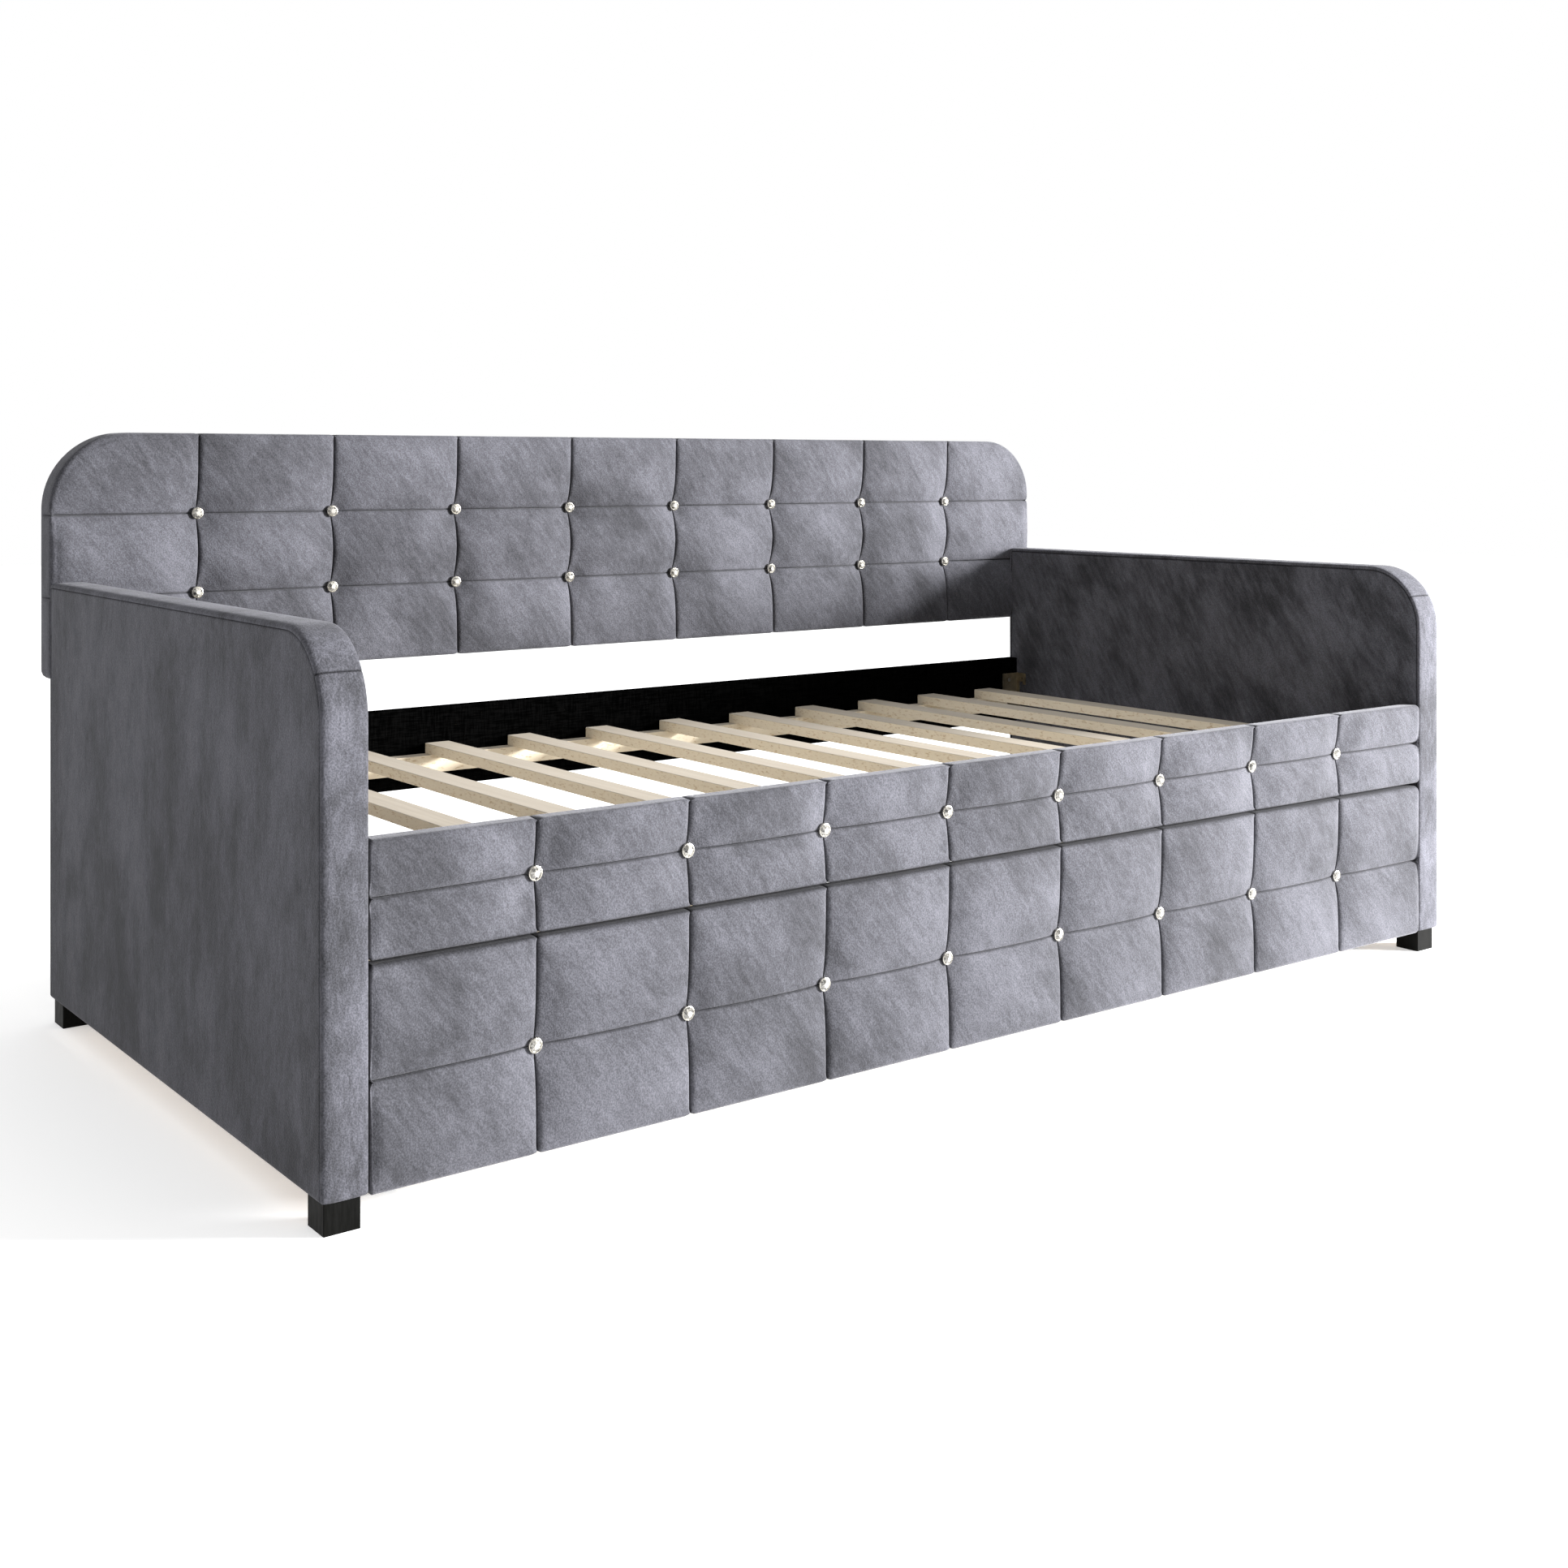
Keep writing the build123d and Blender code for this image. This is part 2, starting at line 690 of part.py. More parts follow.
with BuildPart() as caster_forks:
    for x, y in caster_places():
        with BuildSketch(Plane((x, y, plate_low))):
            Rectangle(plate_x, plate_y)
        extrude(amount=bracket_thick)
        for cheek in (-cheek_gap / 2 - cheek_thick, cheek_gap / 2):
            with BuildSketch(Plane.YZ.offset(x + cheek)):
                with BuildLine():
                    Polyline(
                        (y - cheek_foot, wheel_radius),
                        (y - cheek_wide / 2, plate_low),
                        (y + cheek_wide / 2, plate_low),
                        (y + cheek_foot, wheel_radius),
                        close=True,
                    )
                make_face()
                with Locations((y, wheel_radius)):
                    Circle(cheek_foot)
            extrude(amount=cheek_thick)
        reach = cheek_gap + 2 * cheek_thick
        start = (x - reach / 2, y, wheel_radius)
        rod(start, (1, 0, 0), axle_radius + screw_slack, reach, Mode.SUBTRACT)
    plate_screws(screw_slack, Mode.SUBTRACT)
save(caster_forks.part, "caster_forks")

with BuildPart() as caster_axles:
    for x, y in caster_places():
        reach = cheek_gap / 2 + cheek_thick
        rod((x - reach, y, wheel_radius), (1, 0, 0), axle_radius, 2 * reach)
        rod((x - reach, y, wheel_radius), (-1, 0, 0), axle_head, cheek_thick)
        rod((x + reach, y, wheel_radius), (1, 0, 0), axle_head, cheek_thick)
save(caster_axles.part, "caster_axles")

for side_name, side in SIDES.items():
    for end_name, y in ENDS.items():
        with BuildPart() as wheel:
            with BuildSketch(Plane.YZ.offset(side * caster_x - wheel_width / 2)):
                with Locations((y, wheel_radius)):
                    Circle(wheel_radius)
            extrude(amount=wheel_width)
            rims = wheel.faces().filter_by(Axis.X)
            fillet(rims.edges(), radius=2.5)
            for low, direction in ((-wheel_width / 2, 1), (wheel_width / 2, -1)):
                with BuildSketch(Plane.YZ.offset(side * caster_x + low)):
                    with Locations((y, wheel_radius)):
                        Circle(wheel_radius - 6.0)
                        Circle(wheel_hub / 2 + 1.5, mode=Mode.SUBTRACT)
                extrude(amount=direction * wheel_dish, mode=Mode.SUBTRACT)
            start = (side * caster_x - wheel_width / 2, y, wheel_radius)
            rod(start, (1, 0, 0), axle_radius + axle_slack, wheel_width, Mode.SUBTRACT)
        save(wheel.part, f"{end_name}_{side_name}_caster_wheel")
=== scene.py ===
# %% [markdown]
# # An upholstered daybed with a roll-out trundle
#
# The bed is a frame of boards under foam and crushed velvet, with a deck of pine slats.
# The frame, slats, legs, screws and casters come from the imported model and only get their
# materials here. What is soft, and the crystal buttons, are made in this file: each velvet
# cover is a surface worked out with numpy. The three tufted covers are then puffed up a
# little by a short cloth simulation; the covers of the arms are not simulated. Lengths are
# in metres, and lengths named in millimetres are multiplied by MM.

# %% Load the frame
import json
import math

import bpy
import numpy as np
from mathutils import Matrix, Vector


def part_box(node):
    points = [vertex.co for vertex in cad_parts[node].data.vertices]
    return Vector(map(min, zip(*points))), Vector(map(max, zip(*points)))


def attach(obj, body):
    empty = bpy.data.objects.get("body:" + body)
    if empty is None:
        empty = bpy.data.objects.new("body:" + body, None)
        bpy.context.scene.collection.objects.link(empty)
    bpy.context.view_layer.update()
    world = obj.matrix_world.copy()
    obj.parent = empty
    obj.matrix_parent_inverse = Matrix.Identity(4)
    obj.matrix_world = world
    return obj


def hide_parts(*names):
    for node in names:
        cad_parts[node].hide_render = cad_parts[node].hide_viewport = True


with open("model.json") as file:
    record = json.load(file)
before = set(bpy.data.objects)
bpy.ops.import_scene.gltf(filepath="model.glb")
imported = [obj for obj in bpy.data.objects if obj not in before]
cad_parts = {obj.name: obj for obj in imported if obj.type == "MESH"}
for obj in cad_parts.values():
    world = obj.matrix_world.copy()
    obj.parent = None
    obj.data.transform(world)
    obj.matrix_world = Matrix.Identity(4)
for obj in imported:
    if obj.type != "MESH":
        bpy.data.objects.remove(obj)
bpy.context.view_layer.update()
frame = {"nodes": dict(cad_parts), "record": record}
MM = 0.001

# %% [markdown]
# ## Camera and light
#
# A bed is pictured with upright lines kept upright, so the camera looks level and the
# lens is shifted instead of tilted. The light is a white room, one large soft lamp to the
# right of the front, and a faint one overhead. The large lamp rakes along the tufting: the
# fronts brighten toward the right, and the ends that face left get almost none of it.

# %% Camera
VIEW_TURN = 37.0727          # degrees that the camera is turned to the right of straight on
CAMERA_PLACE = (-1.8777, -2.4841, 0.850)
LENS = 43.2476
LENS_SHIFT = -0.20345

camera_data = bpy.data.cameras.new("camera")
camera_data.sensor_width = 36.0
camera_data.lens = LENS
camera_data.shift_y = LENS_SHIFT
camera_data.clip_end = 50.0
camera = bpy.data.objects.new("camera", camera_data)
camera.location = CAMERA_PLACE
camera.rotation_euler = (math.radians(90), 0, math.radians(-VIEW_TURN))
bpy.context.scene.collection.objects.link(camera)
bpy.context.scene.camera = camera
bpy.context.scene.view_settings.view_transform = "Standard"


# %% Lamps
def lamp(name, place, aim, size, power, colour=(1, 1, 1)):
    """A square soft lamp at place, turned so that it faces aim."""
    data = bpy.data.lights.new(name, "AREA")
    data.shape = "SQUARE"
    data.size = size
    data.energy = power
    data.color = colour
    item = bpy.data.objects.new(name, data)
    direction = np.subtract(aim, place)
    flat = math.hypot(direction[0], direction[1])
    pitch = math.atan2(direction[2], flat) + math.pi / 2
    heading = math.atan2(direction[1], direction[0]) - math.pi / 2
    item.location = place
    item.rotation_euler = (pitch, 0, heading)
    item.visible_camera = False
    bpy.context.scene.collection.objects.link(item)
    return item


lamp("key_lamp", (5.6, -4.5, 1.8), (0.1, -0.3, 0.4), 1.9, 3150)
lamp("top_lamp", (0.2, -0.4, 3.4), (0, 0, 0.4), 2.2, 10)

world = bpy.data.worlds.new("white_room")
world.use_nodes = True
bpy.context.scene.world = world
print("lamps and world:", world.name)

# %% [markdown]
# ## Helpers for materials
#
# Every finish is a small tree of nodes. One function adds a node with its settings and
# links, and one turns the sRGB hex value of a colour into the linear values that the
# shader works in. Patterns read Object coordinates, in metres, so a pattern's scale is
# one over its real size.

# %% Material helpers
def linear(hex_code):
    """sRGB hex to linear RGBA: c/12.92 up to 0.04045, and above it ((c+0.055)/1.055)^2.4."""
    srgb = [int(hex_code[i:i + 2], 16) / 255 for i in (1, 3, 5)]
    return [c / 12.92 if c <= 0.04045 else ((c + 0.055) / 1.055) ** 2.4 for c in srgb] + [1]


def add(tree, kind, inputs=None, **settings):
    """Add one node. inputs gives sockets by name or number, each a value or an output to link."""
    node = tree.nodes.new(kind)
    for key, value in settings.items():
        setattr(node, key, value)
    for key, value in (inputs or {}).items():
        if isinstance(value, bpy.types.NodeSocket):
            tree.links.new(value, node.inputs[key])
        else:
            node.inputs[key].default_value = value
    return node


def new_material(name):
    """An empty material: its node tree, its shader and its Object coordinates."""
    material = bpy.data.materials.new(name)
    material.use_nodes = True
    tree = material.node_tree
    shader = tree.nodes["Principled BSDF"]
    coordinates = add(tree, "ShaderNodeTexCoord").outputs["Object"]
    return material, tree, shader, coordinates


def noise(tree, coordinates, size_mm, detail=3.0, roughness=0.5, distortion=0.0,
          stretch=(1, 1, 1), turn=(0, 0, 0)):
    """Noise whose features are about size_mm across, 0 to 1.

    turn sets the pattern's own axes in radians. A feature is 1 / stretch times as long
    along each of those axes.
    """
    lengths = tuple(1 / share for share in stretch)
    placed = add(tree, "ShaderNodeMapping", {0: coordinates, "Scale": lengths, "Rotation": turn},
                 vector_type="TEXTURE")
    return add(tree, "ShaderNodeTexNoise", {
        "Vector": placed.outputs[0], "Scale": 1 / (size_mm * MM), "Detail": detail,
        "Roughness": roughness, "Distortion": distortion,
    }).outputs["Fac"]


def ramp(tree, value, low, high, out_low=0.0, out_high=1.0):
    """A smooth step of value from low..high to out_low..out_high."""
    return add(tree, "ShaderNodeMapRange", {
        "Value": value, "From Min": low, "From Max": high, "To Min": out_low, "To Max": out_high,
    }, interpolation_type="SMOOTHSTEP").outputs["Result"]


def blend(tree, factor, first, second, mode="MIX"):
    """Two colours mixed by factor; each is an output or a linear colour."""
    return add(tree, "ShaderNodeMix", {0: factor, 6: first, 7: second},
               data_type="RGBA", blend_type=mode).outputs[2]


def maths(tree, operation, first, second):
    """One arithmetic step on two values."""
    return add(tree, "ShaderNodeMath", {0: first, 1: second}, operation=operation).outputs[0]


def bump(tree, shader, height, distance_mm, strength=1.0):
    """Link a height pattern to the shader's normal, distance_mm high from 0 to 1."""
    node = add(tree, "ShaderNodeBump", {
        "Height": height, "Distance": distance_mm * MM, "Strength": strength,
    })
    tree.links.new(node.outputs["Normal"], shader.inputs["Normal"])


def finish(shader, roughness, **sockets):
    """Set the shader's own sockets; spaces in a socket's name are written as underscores."""
    shader.inputs["Roughness"].default_value = roughness
    for name, value in sockets.items():
        shader.inputs[name.replace("_", " ")].default_value = value


# %% The room: it gives a soft light, and its wall is seen as white
ROOM_LIGHT = 0.77
room = world.node_tree
seen = add(room, "ShaderNodeLightPath").outputs["Is Camera Ray"]
strength = add(room, "ShaderNodeMapRange", {"Value": seen, "To Min": ROOM_LIGHT, "To Max": 1.0})
room.nodes["Background"].inputs["Color"].default_value = (1, 1, 1, 1)
room.links.new(strength.outputs["Result"], room.nodes["Background"].inputs["Strength"])

# %% [markdown]
# ## Crushed velvet
#
# Velvet is a woven cloth with a short upright pile. Light that meets the pile end on is
# swallowed, and light that grazes it glows, so the material is a dark rough base with a
# strong sheen. Where the pile was brushed or pressed another way, it looks lighter or
# darker: that is the cloudy mottling, drawn here by noise at two sizes and stretched
# along the direction in which the cloth was brushed. A fine noise stands for the tufts of
# the pile. Real tufts are under half a millimetre; they are drawn about 2 mm across,
# because finer ones would not show in a picture of a whole bed.

# %% Velvet
TUFT_MM = 2.2


def velvet(name, turn, cloud_mm, stroke_mm, contrast, stretch=0.25,
           pile=("#29292c", "#515157"), glow=0.2):
    """Grey crushed velvet, brushed along the z axis after turn; its seams get painted shade, a darker
    colour and no sheen.

    pile is its darkest and lightest colour, and glow the weight of its sheen.
    """
    material, tree, shader, coordinates = new_material(name)
    clouds = noise(tree, coordinates, cloud_mm, 3, 0.5, 0.3, (1, 1, 0.6), turn)
    patches = noise(tree, coordinates, cloud_mm * 0.35, 5, 0.65, 0.4, (1, 1, 0.45), turn)
    strokes = noise(tree, coordinates, stroke_mm, 4, 0.7, 0.3, (1, 1, stretch), turn)
    large = maths(tree, "MULTIPLY", clouds, 0.4)
    middling = maths(tree, "MULTIPLY", patches, 0.32)
    fine = maths(tree, "MULTIPLY", strokes, 0.28)
    mottling = maths(tree, "ADD", maths(tree, "ADD", large, middling), fine)
    brushed = ramp(tree, mottling, 0.5 - contrast, 0.5 + contrast)
    colour = blend(tree, brushed, linear(pile[0]), linear(pile[1]))
    tufts = noise(tree, coordinates, TUFT_MM, 2.0, 0.55)
    grain = ramp(tree, tufts, 0.34, 0.66, 0.78, 1.22)
    colour = blend(tree, 1.0, colour, grain, "MULTIPLY")
    # Painted shade: where the seam attribute rises to 1, the colour goes toward near black and the
    # sheen is taken away.
    seam = add(tree, "ShaderNodeAttribute", attribute_name="seam").outputs["Fac"]
    colour = blend(tree, seam, colour, linear("#040405"))
    tree.links.new(colour, shader.inputs["Base Color"])
    sheen = maths(tree, "MULTIPLY_ADD", seam, -glow)
    sheen.node.inputs[2].default_value = glow
    tree.links.new(sheen, shader.inputs["Sheen Weight"])
    bump(tree, shader, tufts, 1.0, 0.65)
    finish(shader, 0.85, Sheen_Roughness=0.4, Sheen_Tint=linear("#e8e8ee"), Specular_IOR_Level=0.1)
    return material


def set_painted_seam_shade(item, values):
    """Give a mesh its seam attribute, the painted shade of its seams: 0 on open cloth, up to 1 in the
    bottom of a seam.
    """
    item.data.attributes.new("seam", "FLOAT", "POINT").data.foreach_set("value", np.ravel(values))


panel_velvet = velvet("crushed_velvet_panel", (0, math.radians(-36), 0), 170, 7, 0.19)
# A darker copy of the same velvet for the arms' faces: painted shade.
shaded_arm_velvet = velvet("crushed_velvet_arm_painted_shade", (math.radians(4), 0, 0), 110, 6, 0.15, 0.33,
                    ("#252528", "#4a4a50"))
# A lighter copy with less sheen for the border strips: painted light, making up for the sheen taken
# off.
lightened_strip_velvet = velvet("crushed_velvet_strip_painted_light", (math.radians(4), 0, 0), 110, 6, 0.17, 0.33,
                      ("#2e2e31", "#58585f"), 0.08)
inner_velvet = velvet("crushed_velvet_inner", (math.radians(-32), 0, 0), 110, 9, 0.14)
print("velvets:", panel_velvet.name, shaded_arm_velvet.name, inner_velvet.name)

# %% [markdown]
# ## Finishes of the frame
#
# The hidden faces are lined with black linen, a plain weave that swallows nearly all
# light. The slats are planed softwood, with long soft streaks on top and short brown
# flecks on their sawn sides; those sides are painted paler, as painted light. The legs
# are black lacquer over wood, the hook brackets dark bronzed steel, and the screws, forks
# and axles zinc plated steel.

# %% Black linen
def black_linen():
    """Plain black weave: threads about 0.6 mm apart, drawn 2 mm apart so that they show."""
    material, tree, shader, coordinates = new_material("black_linen")
    warp = noise(tree, coordinates, 2.0, 2, 0.5, 0, (1, 1, 0.08))
    weft = noise(tree, coordinates, 2.0, 2, 0.5, 0, (0.08, 0.08, 1))
    weave = maths(tree, "MULTIPLY", warp, weft)
    colour = blend(tree, ramp(tree, weave, 0.15, 0.38), linear("#010101"), linear("#050505"))
    tree.links.new(colour, shader.inputs["Base Color"])
    bump(tree, shader, weave, 0.3, 0.6)
    finish(shader, 0.9, Specular_IOR_Level=0.0)
    return material


# %% Pine
def pine(name, along):
    """Planed softwood whose grain runs along the row axis 0, 1 or 2."""
    material, tree, shader, coordinates = new_material(name)
    stretch = [1.0, 1.0, 1.0]
    stretch[along] = 0.035
    streaks = noise(tree, coordinates, 9, 5, 0.6, 0.3, stretch)
    stretch[along] = 0.3
    flecks = noise(tree, coordinates, 3.2, 3, 0.65, 0.2, stretch)
    boards = noise(tree, coordinates, 160, 1, 0.5, 0, (1, 0.05, 1))
    colour = blend(tree, ramp(tree, streaks, 0.3, 0.7), linear("#9f968a"), linear("#ada599"))
    colour = blend(tree, ramp(tree, boards, 0.35, 0.65, 0, 0.5), colour, linear("#a79f94"))
    # Painted light: faces that do not face up are blended toward a pale colour, which stands in for
    # the light on the slats' sides; the brown flecks go on those sides too.
    normal = add(tree, "ShaderNodeNewGeometry").outputs["Normal"]
    up = add(tree, "ShaderNodeSeparateXYZ", {0: normal}).outputs[2]
    side = ramp(tree, up, 0.3, 0.7, 0.75, 0.12)
    colour = blend(tree, side, colour, linear("#ecdfc6"))
    fleck = maths(tree, "MULTIPLY", ramp(tree, flecks, 0.54, 0.68), side)
    colour = blend(tree, fleck, colour, linear("#b79d79"))
    tree.links.new(colour, shader.inputs["Base Color"])
    bump(tree, shader, flecks, 0.25, 0.4)
    finish(shader, 0.62, Specular_IOR_Level=0.3)
    return material


# %% Plywood, lacquer, metals and nylon
def plywood():
    """Raw birch plywood: a face grain with faint long figure."""
    material, tree, shader, coordinates = new_material("birch_plywood")
    figure = noise(tree, coordinates, 22, 5, 0.6, 1.2, (0.06, 1, 1))
    colour = blend(tree, ramp(tree, figure, 0.3, 0.7), linear("#b08c62"), linear("#cdb08a"))
    tree.links.new(colour, shader.inputs["Base Color"])
    bump(tree, shader, figure, 0.2, 0.3)
    finish(shader, 0.6)
    return material


def black_lacquer():
    """Sprayed satin black lacquer on wood, with a faint orange peel and the grain under it."""
    material, tree, shader, coordinates = new_material("black_lacquer")
    grain = noise(tree, coordinates, 3.0, 4, 0.6, 0.2, (1, 1, 0.12))
    colour = blend(tree, ramp(tree, grain, 0.3, 0.7), linear("#060605"), linear("#0b0b0a"))
    tree.links.new(colour, shader.inputs["Base Color"])
    tree.links.new(ramp(tree, grain, 0.3, 0.7, 0.36, 0.5), shader.inputs["Roughness"])
    bump(tree, shader, grain, 0.12, 0.35)
    finish(shader, 0.5, Specular_IOR_Level=0.05)
    return material


def metal(name, dark, light, roughness, patch_mm):
    """Plated steel whose colour and gloss vary a little in patches of patch_mm."""
    material, tree, shader, coordinates = new_material(name)
    patches = noise(tree, coordinates, patch_mm, 4, 0.6)
    colour = blend(tree, ramp(tree, patches, 0.3, 0.7), linear(dark), linear(light))
    tree.links.new(colour, shader.inputs["Base Color"])
    rough = ramp(tree, patches, 0.3, 0.7, roughness - 0.06, roughness + 0.08)
    tree.links.new(rough, shader.inputs["Roughness"])
    bump(tree, shader, patches, 0.05, 0.3)
    shader.inputs["Metallic"].default_value = 1.0
    return material


def nylon():
    """Moulded black nylon with a fine matt texture."""
    material, tree, shader, coordinates = new_material("moulded_nylon")
    grit = noise(tree, coordinates, 1.2, 2)
    colour = blend(tree, ramp(tree, grit, 0.3, 0.7), linear("#1b1b1c"), linear("#29292a"))
    tree.links.new(colour, shader.inputs["Base Color"])
    bump(tree, shader, grit, 0.06, 0.4)
    finish(shader, 0.5, IOR=1.53)
    return material


linen = black_linen()
pine_slat = pine("pine_slat", 1)
pine_ledger = pine("pine_ledger", 0)
FRAME_FINISHES = {
    "black_linen": linen, "pine": pine_slat, "plywood": plywood(), "black_wood": black_lacquer(),
    "bronzed_steel": metal("bronzed_steel", "#7d7462", "#958b76", 0.5, 12),
    "zinc_steel": metal("zinc_steel", "#9a9c9e", "#b9bbbd", 0.34, 8),
    "nylon_wheel": nylon(),
}

# %% Give each carried-over node its finish
node_slots = {entry["node"]: entry["material_slot"] for entry in frame["record"]["subparts"]}
for node, item in frame["nodes"].items():
    chosen = FRAME_FINISHES.get(node_slots[node], panel_velvet)
    if "ledger" in node:
        chosen = pine_ledger
    item.data.materials.clear()
    item.data.materials.append(chosen)
print("finished nodes:", len(frame["nodes"]))

# %% Floor: it glows a little, so that it is seen nearly as white as the wall
floor_mesh = bpy.data.meshes.new("floor")
FLOOR_REACH = 14.0
floor_corners = [(-FLOOR_REACH, -FLOOR_REACH, 0), (FLOOR_REACH, -FLOOR_REACH, 0),
                 (FLOOR_REACH, FLOOR_REACH, 0), (-FLOOR_REACH, FLOOR_REACH, 0)]
floor_mesh.from_pydata(floor_corners, [], [(0, 1, 2, 3)])
floor = bpy.data.objects.new("floor", floor_mesh)
floor_material, _, floor_shader, _ = new_material("pale_floor")
floor_shader.inputs["Base Color"].default_value = linear("#f2f2f2")
finish(floor_shader, 0.9, Specular_IOR_Level=0.1, Emission_Color=linear("#ffffff"),
       Emission_Strength=0.4)
floor_mesh.materials.append(floor_material)
bpy.context.scene.collection.objects.link(floor)

# %% [markdown]
# ## Surfaces as grids
#
# A cover is a grid of points: its rows run across the panel and stack up its height. The
# panel's outline is rounded at its corners, so each row ends where the outline is at that
# height. From the grid's border, loops of points go on round the panel's edge to its
# back, as cloth is pulled round a board and stapled behind. Rows and columns crowd
# together at the seams, where the shape turns fastest.

# %% Grid helpers
def crowded(stops, counts):
    """Places from stop to stop, with cosine spacing between, so they crowd at every stop."""
    pieces = []
    for low, high, count in zip(stops[:-1], stops[1:], counts):
        step = np.arange(count) / count
        pieces.append(low + (high - low) * (1 - np.cos(np.pi * step)) / 2)
    return np.concatenate(pieces + [[stops[-1]]])


def seam_spaced(stops, first=0.5 * MM, growth=1.3, widest=9 * MM):
    """Places from stop to stop whose steps grow from first by growth up to widest, and back."""
    steps = first * growth ** np.arange(40)
    climb = np.concatenate([[0], np.cumsum(steps[steps < widest])])
    pieces = []
    for low, high in zip(stops[:-1], stops[1:]):
        near = climb[climb < (high - low) / 2 - widest / 3]
        inner_low, inner_high = low + near[-1], high - near[-1]
        count = max(round((inner_high - inner_low) / widest), 1)
        even = np.linspace(inner_low, inner_high, count + 1)[1:-1]
        pieces.append(np.concatenate([low + near, even, high - near[:0:-1]]))
    return np.concatenate(pieces + [[stops[-1]]])


def rounded_reach(height, low, high, reach, low_radius, high_radius):
    """How far the outline reaches at each height: reach less what a corner's arc takes off."""
    from_top = np.clip((height - (high - high_radius)) / high_radius, 0, 1)
    from_low = np.clip(((low + low_radius) - height) / low_radius, 0, 1)
    top_cut = high_radius * (1 - np.sqrt(1 - from_top ** 2))
    low_cut = low_radius * (1 - np.sqrt(1 - from_low ** 2))
    return reach - top_cut - low_cut


def grid_faces(rows, columns):
    """Quads of a grid whose point (r, c) is number r * columns + c."""
    r, c = np.meshgrid(np.arange(rows - 1), np.arange(columns - 1), indexing="ij")
    first = (r * columns + c).ravel()
    return np.stack([first, first + 1, first + columns + 1, first + columns], axis=1)


def border_loop(rows, columns):
    """Numbers of a grid's border points, round from its first corner the way its faces turn."""
    bottom = np.arange(columns)
    right = np.arange(1, rows) * columns + columns - 1
    top = (rows - 1) * columns + np.arange(columns - 2, -1, -1)
    left = np.arange(rows - 2, 0, -1) * columns
    return np.concatenate([bottom, right, top, left])


def loop_faces(first, second):
    """Quads between two closed loops of the same length, given as point numbers."""
    return np.stack([first, second, np.roll(second, -1), np.roll(first, -1)], axis=1)


def make_object(name, points, quads, material, caps=(), smooth=True):
    """A mesh object at the origin from points in metres, quads, and any many-sided caps."""
    mesh = bpy.data.meshes.new(name)
    faces = quads.tolist() + [list(cap) for cap in caps]
    mesh.from_pydata(points.tolist(), [], faces)
    mesh.polygons.foreach_set("use_smooth", np.full(len(faces), smooth))
    mesh.materials.append(material)
    mesh.update()
    item = bpy.data.objects.new(name, mesh)
    bpy.context.scene.collection.objects.link(item)
    return item


def outward(loop_2d):
    """Unit normals of a closed loop in its plane, from its neighbours, pointing right of its run."""
    ahead = np.roll(loop_2d, -1, axis=0) - loop_2d
    behind = loop_2d - np.roll(loop_2d, 1, axis=0)
    ahead /= np.maximum(np.linalg.norm(ahead, axis=1, keepdims=True), 1e-9)
    behind /= np.maximum(np.linalg.norm(behind, axis=1, keepdims=True), 1e-9)
    tangent = ahead + behind
    tangent /= np.maximum(np.linalg.norm(tangent, axis=1, keepdims=True), 1e-9)
    return np.stack([tangent[:, 1], -tangent[:, 0]], axis=1)


# %% [markdown]
# ## Tufting
#
# Biscuit tufting sews a foam panel into square puffs: straight seams run from edge to
# edge, and a button at each crossing is pulled hard against the board. The front surface
# is given as a depth behind its highest point. Each puff is a low pillow. Along a seam
# the cloth rolls over into a narrow crease, a quarter ellipse across, with a very narrow
# slit at its bottom. Round each button there is a pit shaped like a cone, which falls to
# about a third of its depth 33 mm from the button's middle.

# %% Depth of the tufted surface
PILLOW = 5.6 * MM         # fall from a puff's middle to its seams
CREASE = 5.0 * MM         # further fall at the seam
ROLL = 9.0 * MM           # width over which the cloth rolls into the seam
PIT_START = 6.0 * MM      # the pit is at its full depth this far round a button's middle
PIT_REACH = 27.0 * MM     # and falls to about a third of it over this much more
SLIT = 5.0 * MM           # depth of the narrow slit where two puffs meet
SLIT_WIDTH = 0.8 * MM


def nearest(values, lines):
    """Distance of each value to the nearest of some lines."""
    return np.abs(values[..., None] - np.asarray(lines)).min(axis=-1)


def rolled(distance):
    """1 at a seam, falling as a quarter ellipse to 0 at ROLL."""
    t = np.clip(distance / ROLL, 0, 1)
    return 1 - np.sqrt(1 - (1 - t) ** 2)


def tuft_depth(x, z, seams_x, seams_z, half_z, recess):
    """Depth in metres behind the crown.

    It is the pillow plus the crease, drawn toward recess by the share that the pit has
    there, plus the slit. The pit's share is e to the minus (distance / PIT_REACH) ^ 1.05.
    """
    half_x = (seams_x[1] - seams_x[0]) / 2
    near_x = np.clip(nearest(x, seams_x) / half_x, 0, 1)
    near_z = np.clip(nearest(z, seams_z) / half_z, 0, 1)
    pillow = 1 - (1 - (1 - near_x) ** 2.1) * (1 - (1 - near_z) ** 2.1)
    crease = np.maximum(rolled(nearest(x, seams_x)), rolled(nearest(z, seams_z)))
    depth = PILLOW * pillow + CREASE * crease
    away = np.hypot(nearest(x, seams_x), nearest(z, seams_z))
    pit = np.exp(-(np.maximum(away - PIT_START, 0) / PIT_REACH) ** 1.05)
    seam = np.minimum(nearest(x, seams_x), nearest(z, seams_z))
    slit = SLIT * np.exp(-(seam / SLIT_WIDTH) ** 2) * (1 - pit)
    return depth + (recess - depth) * pit + slit


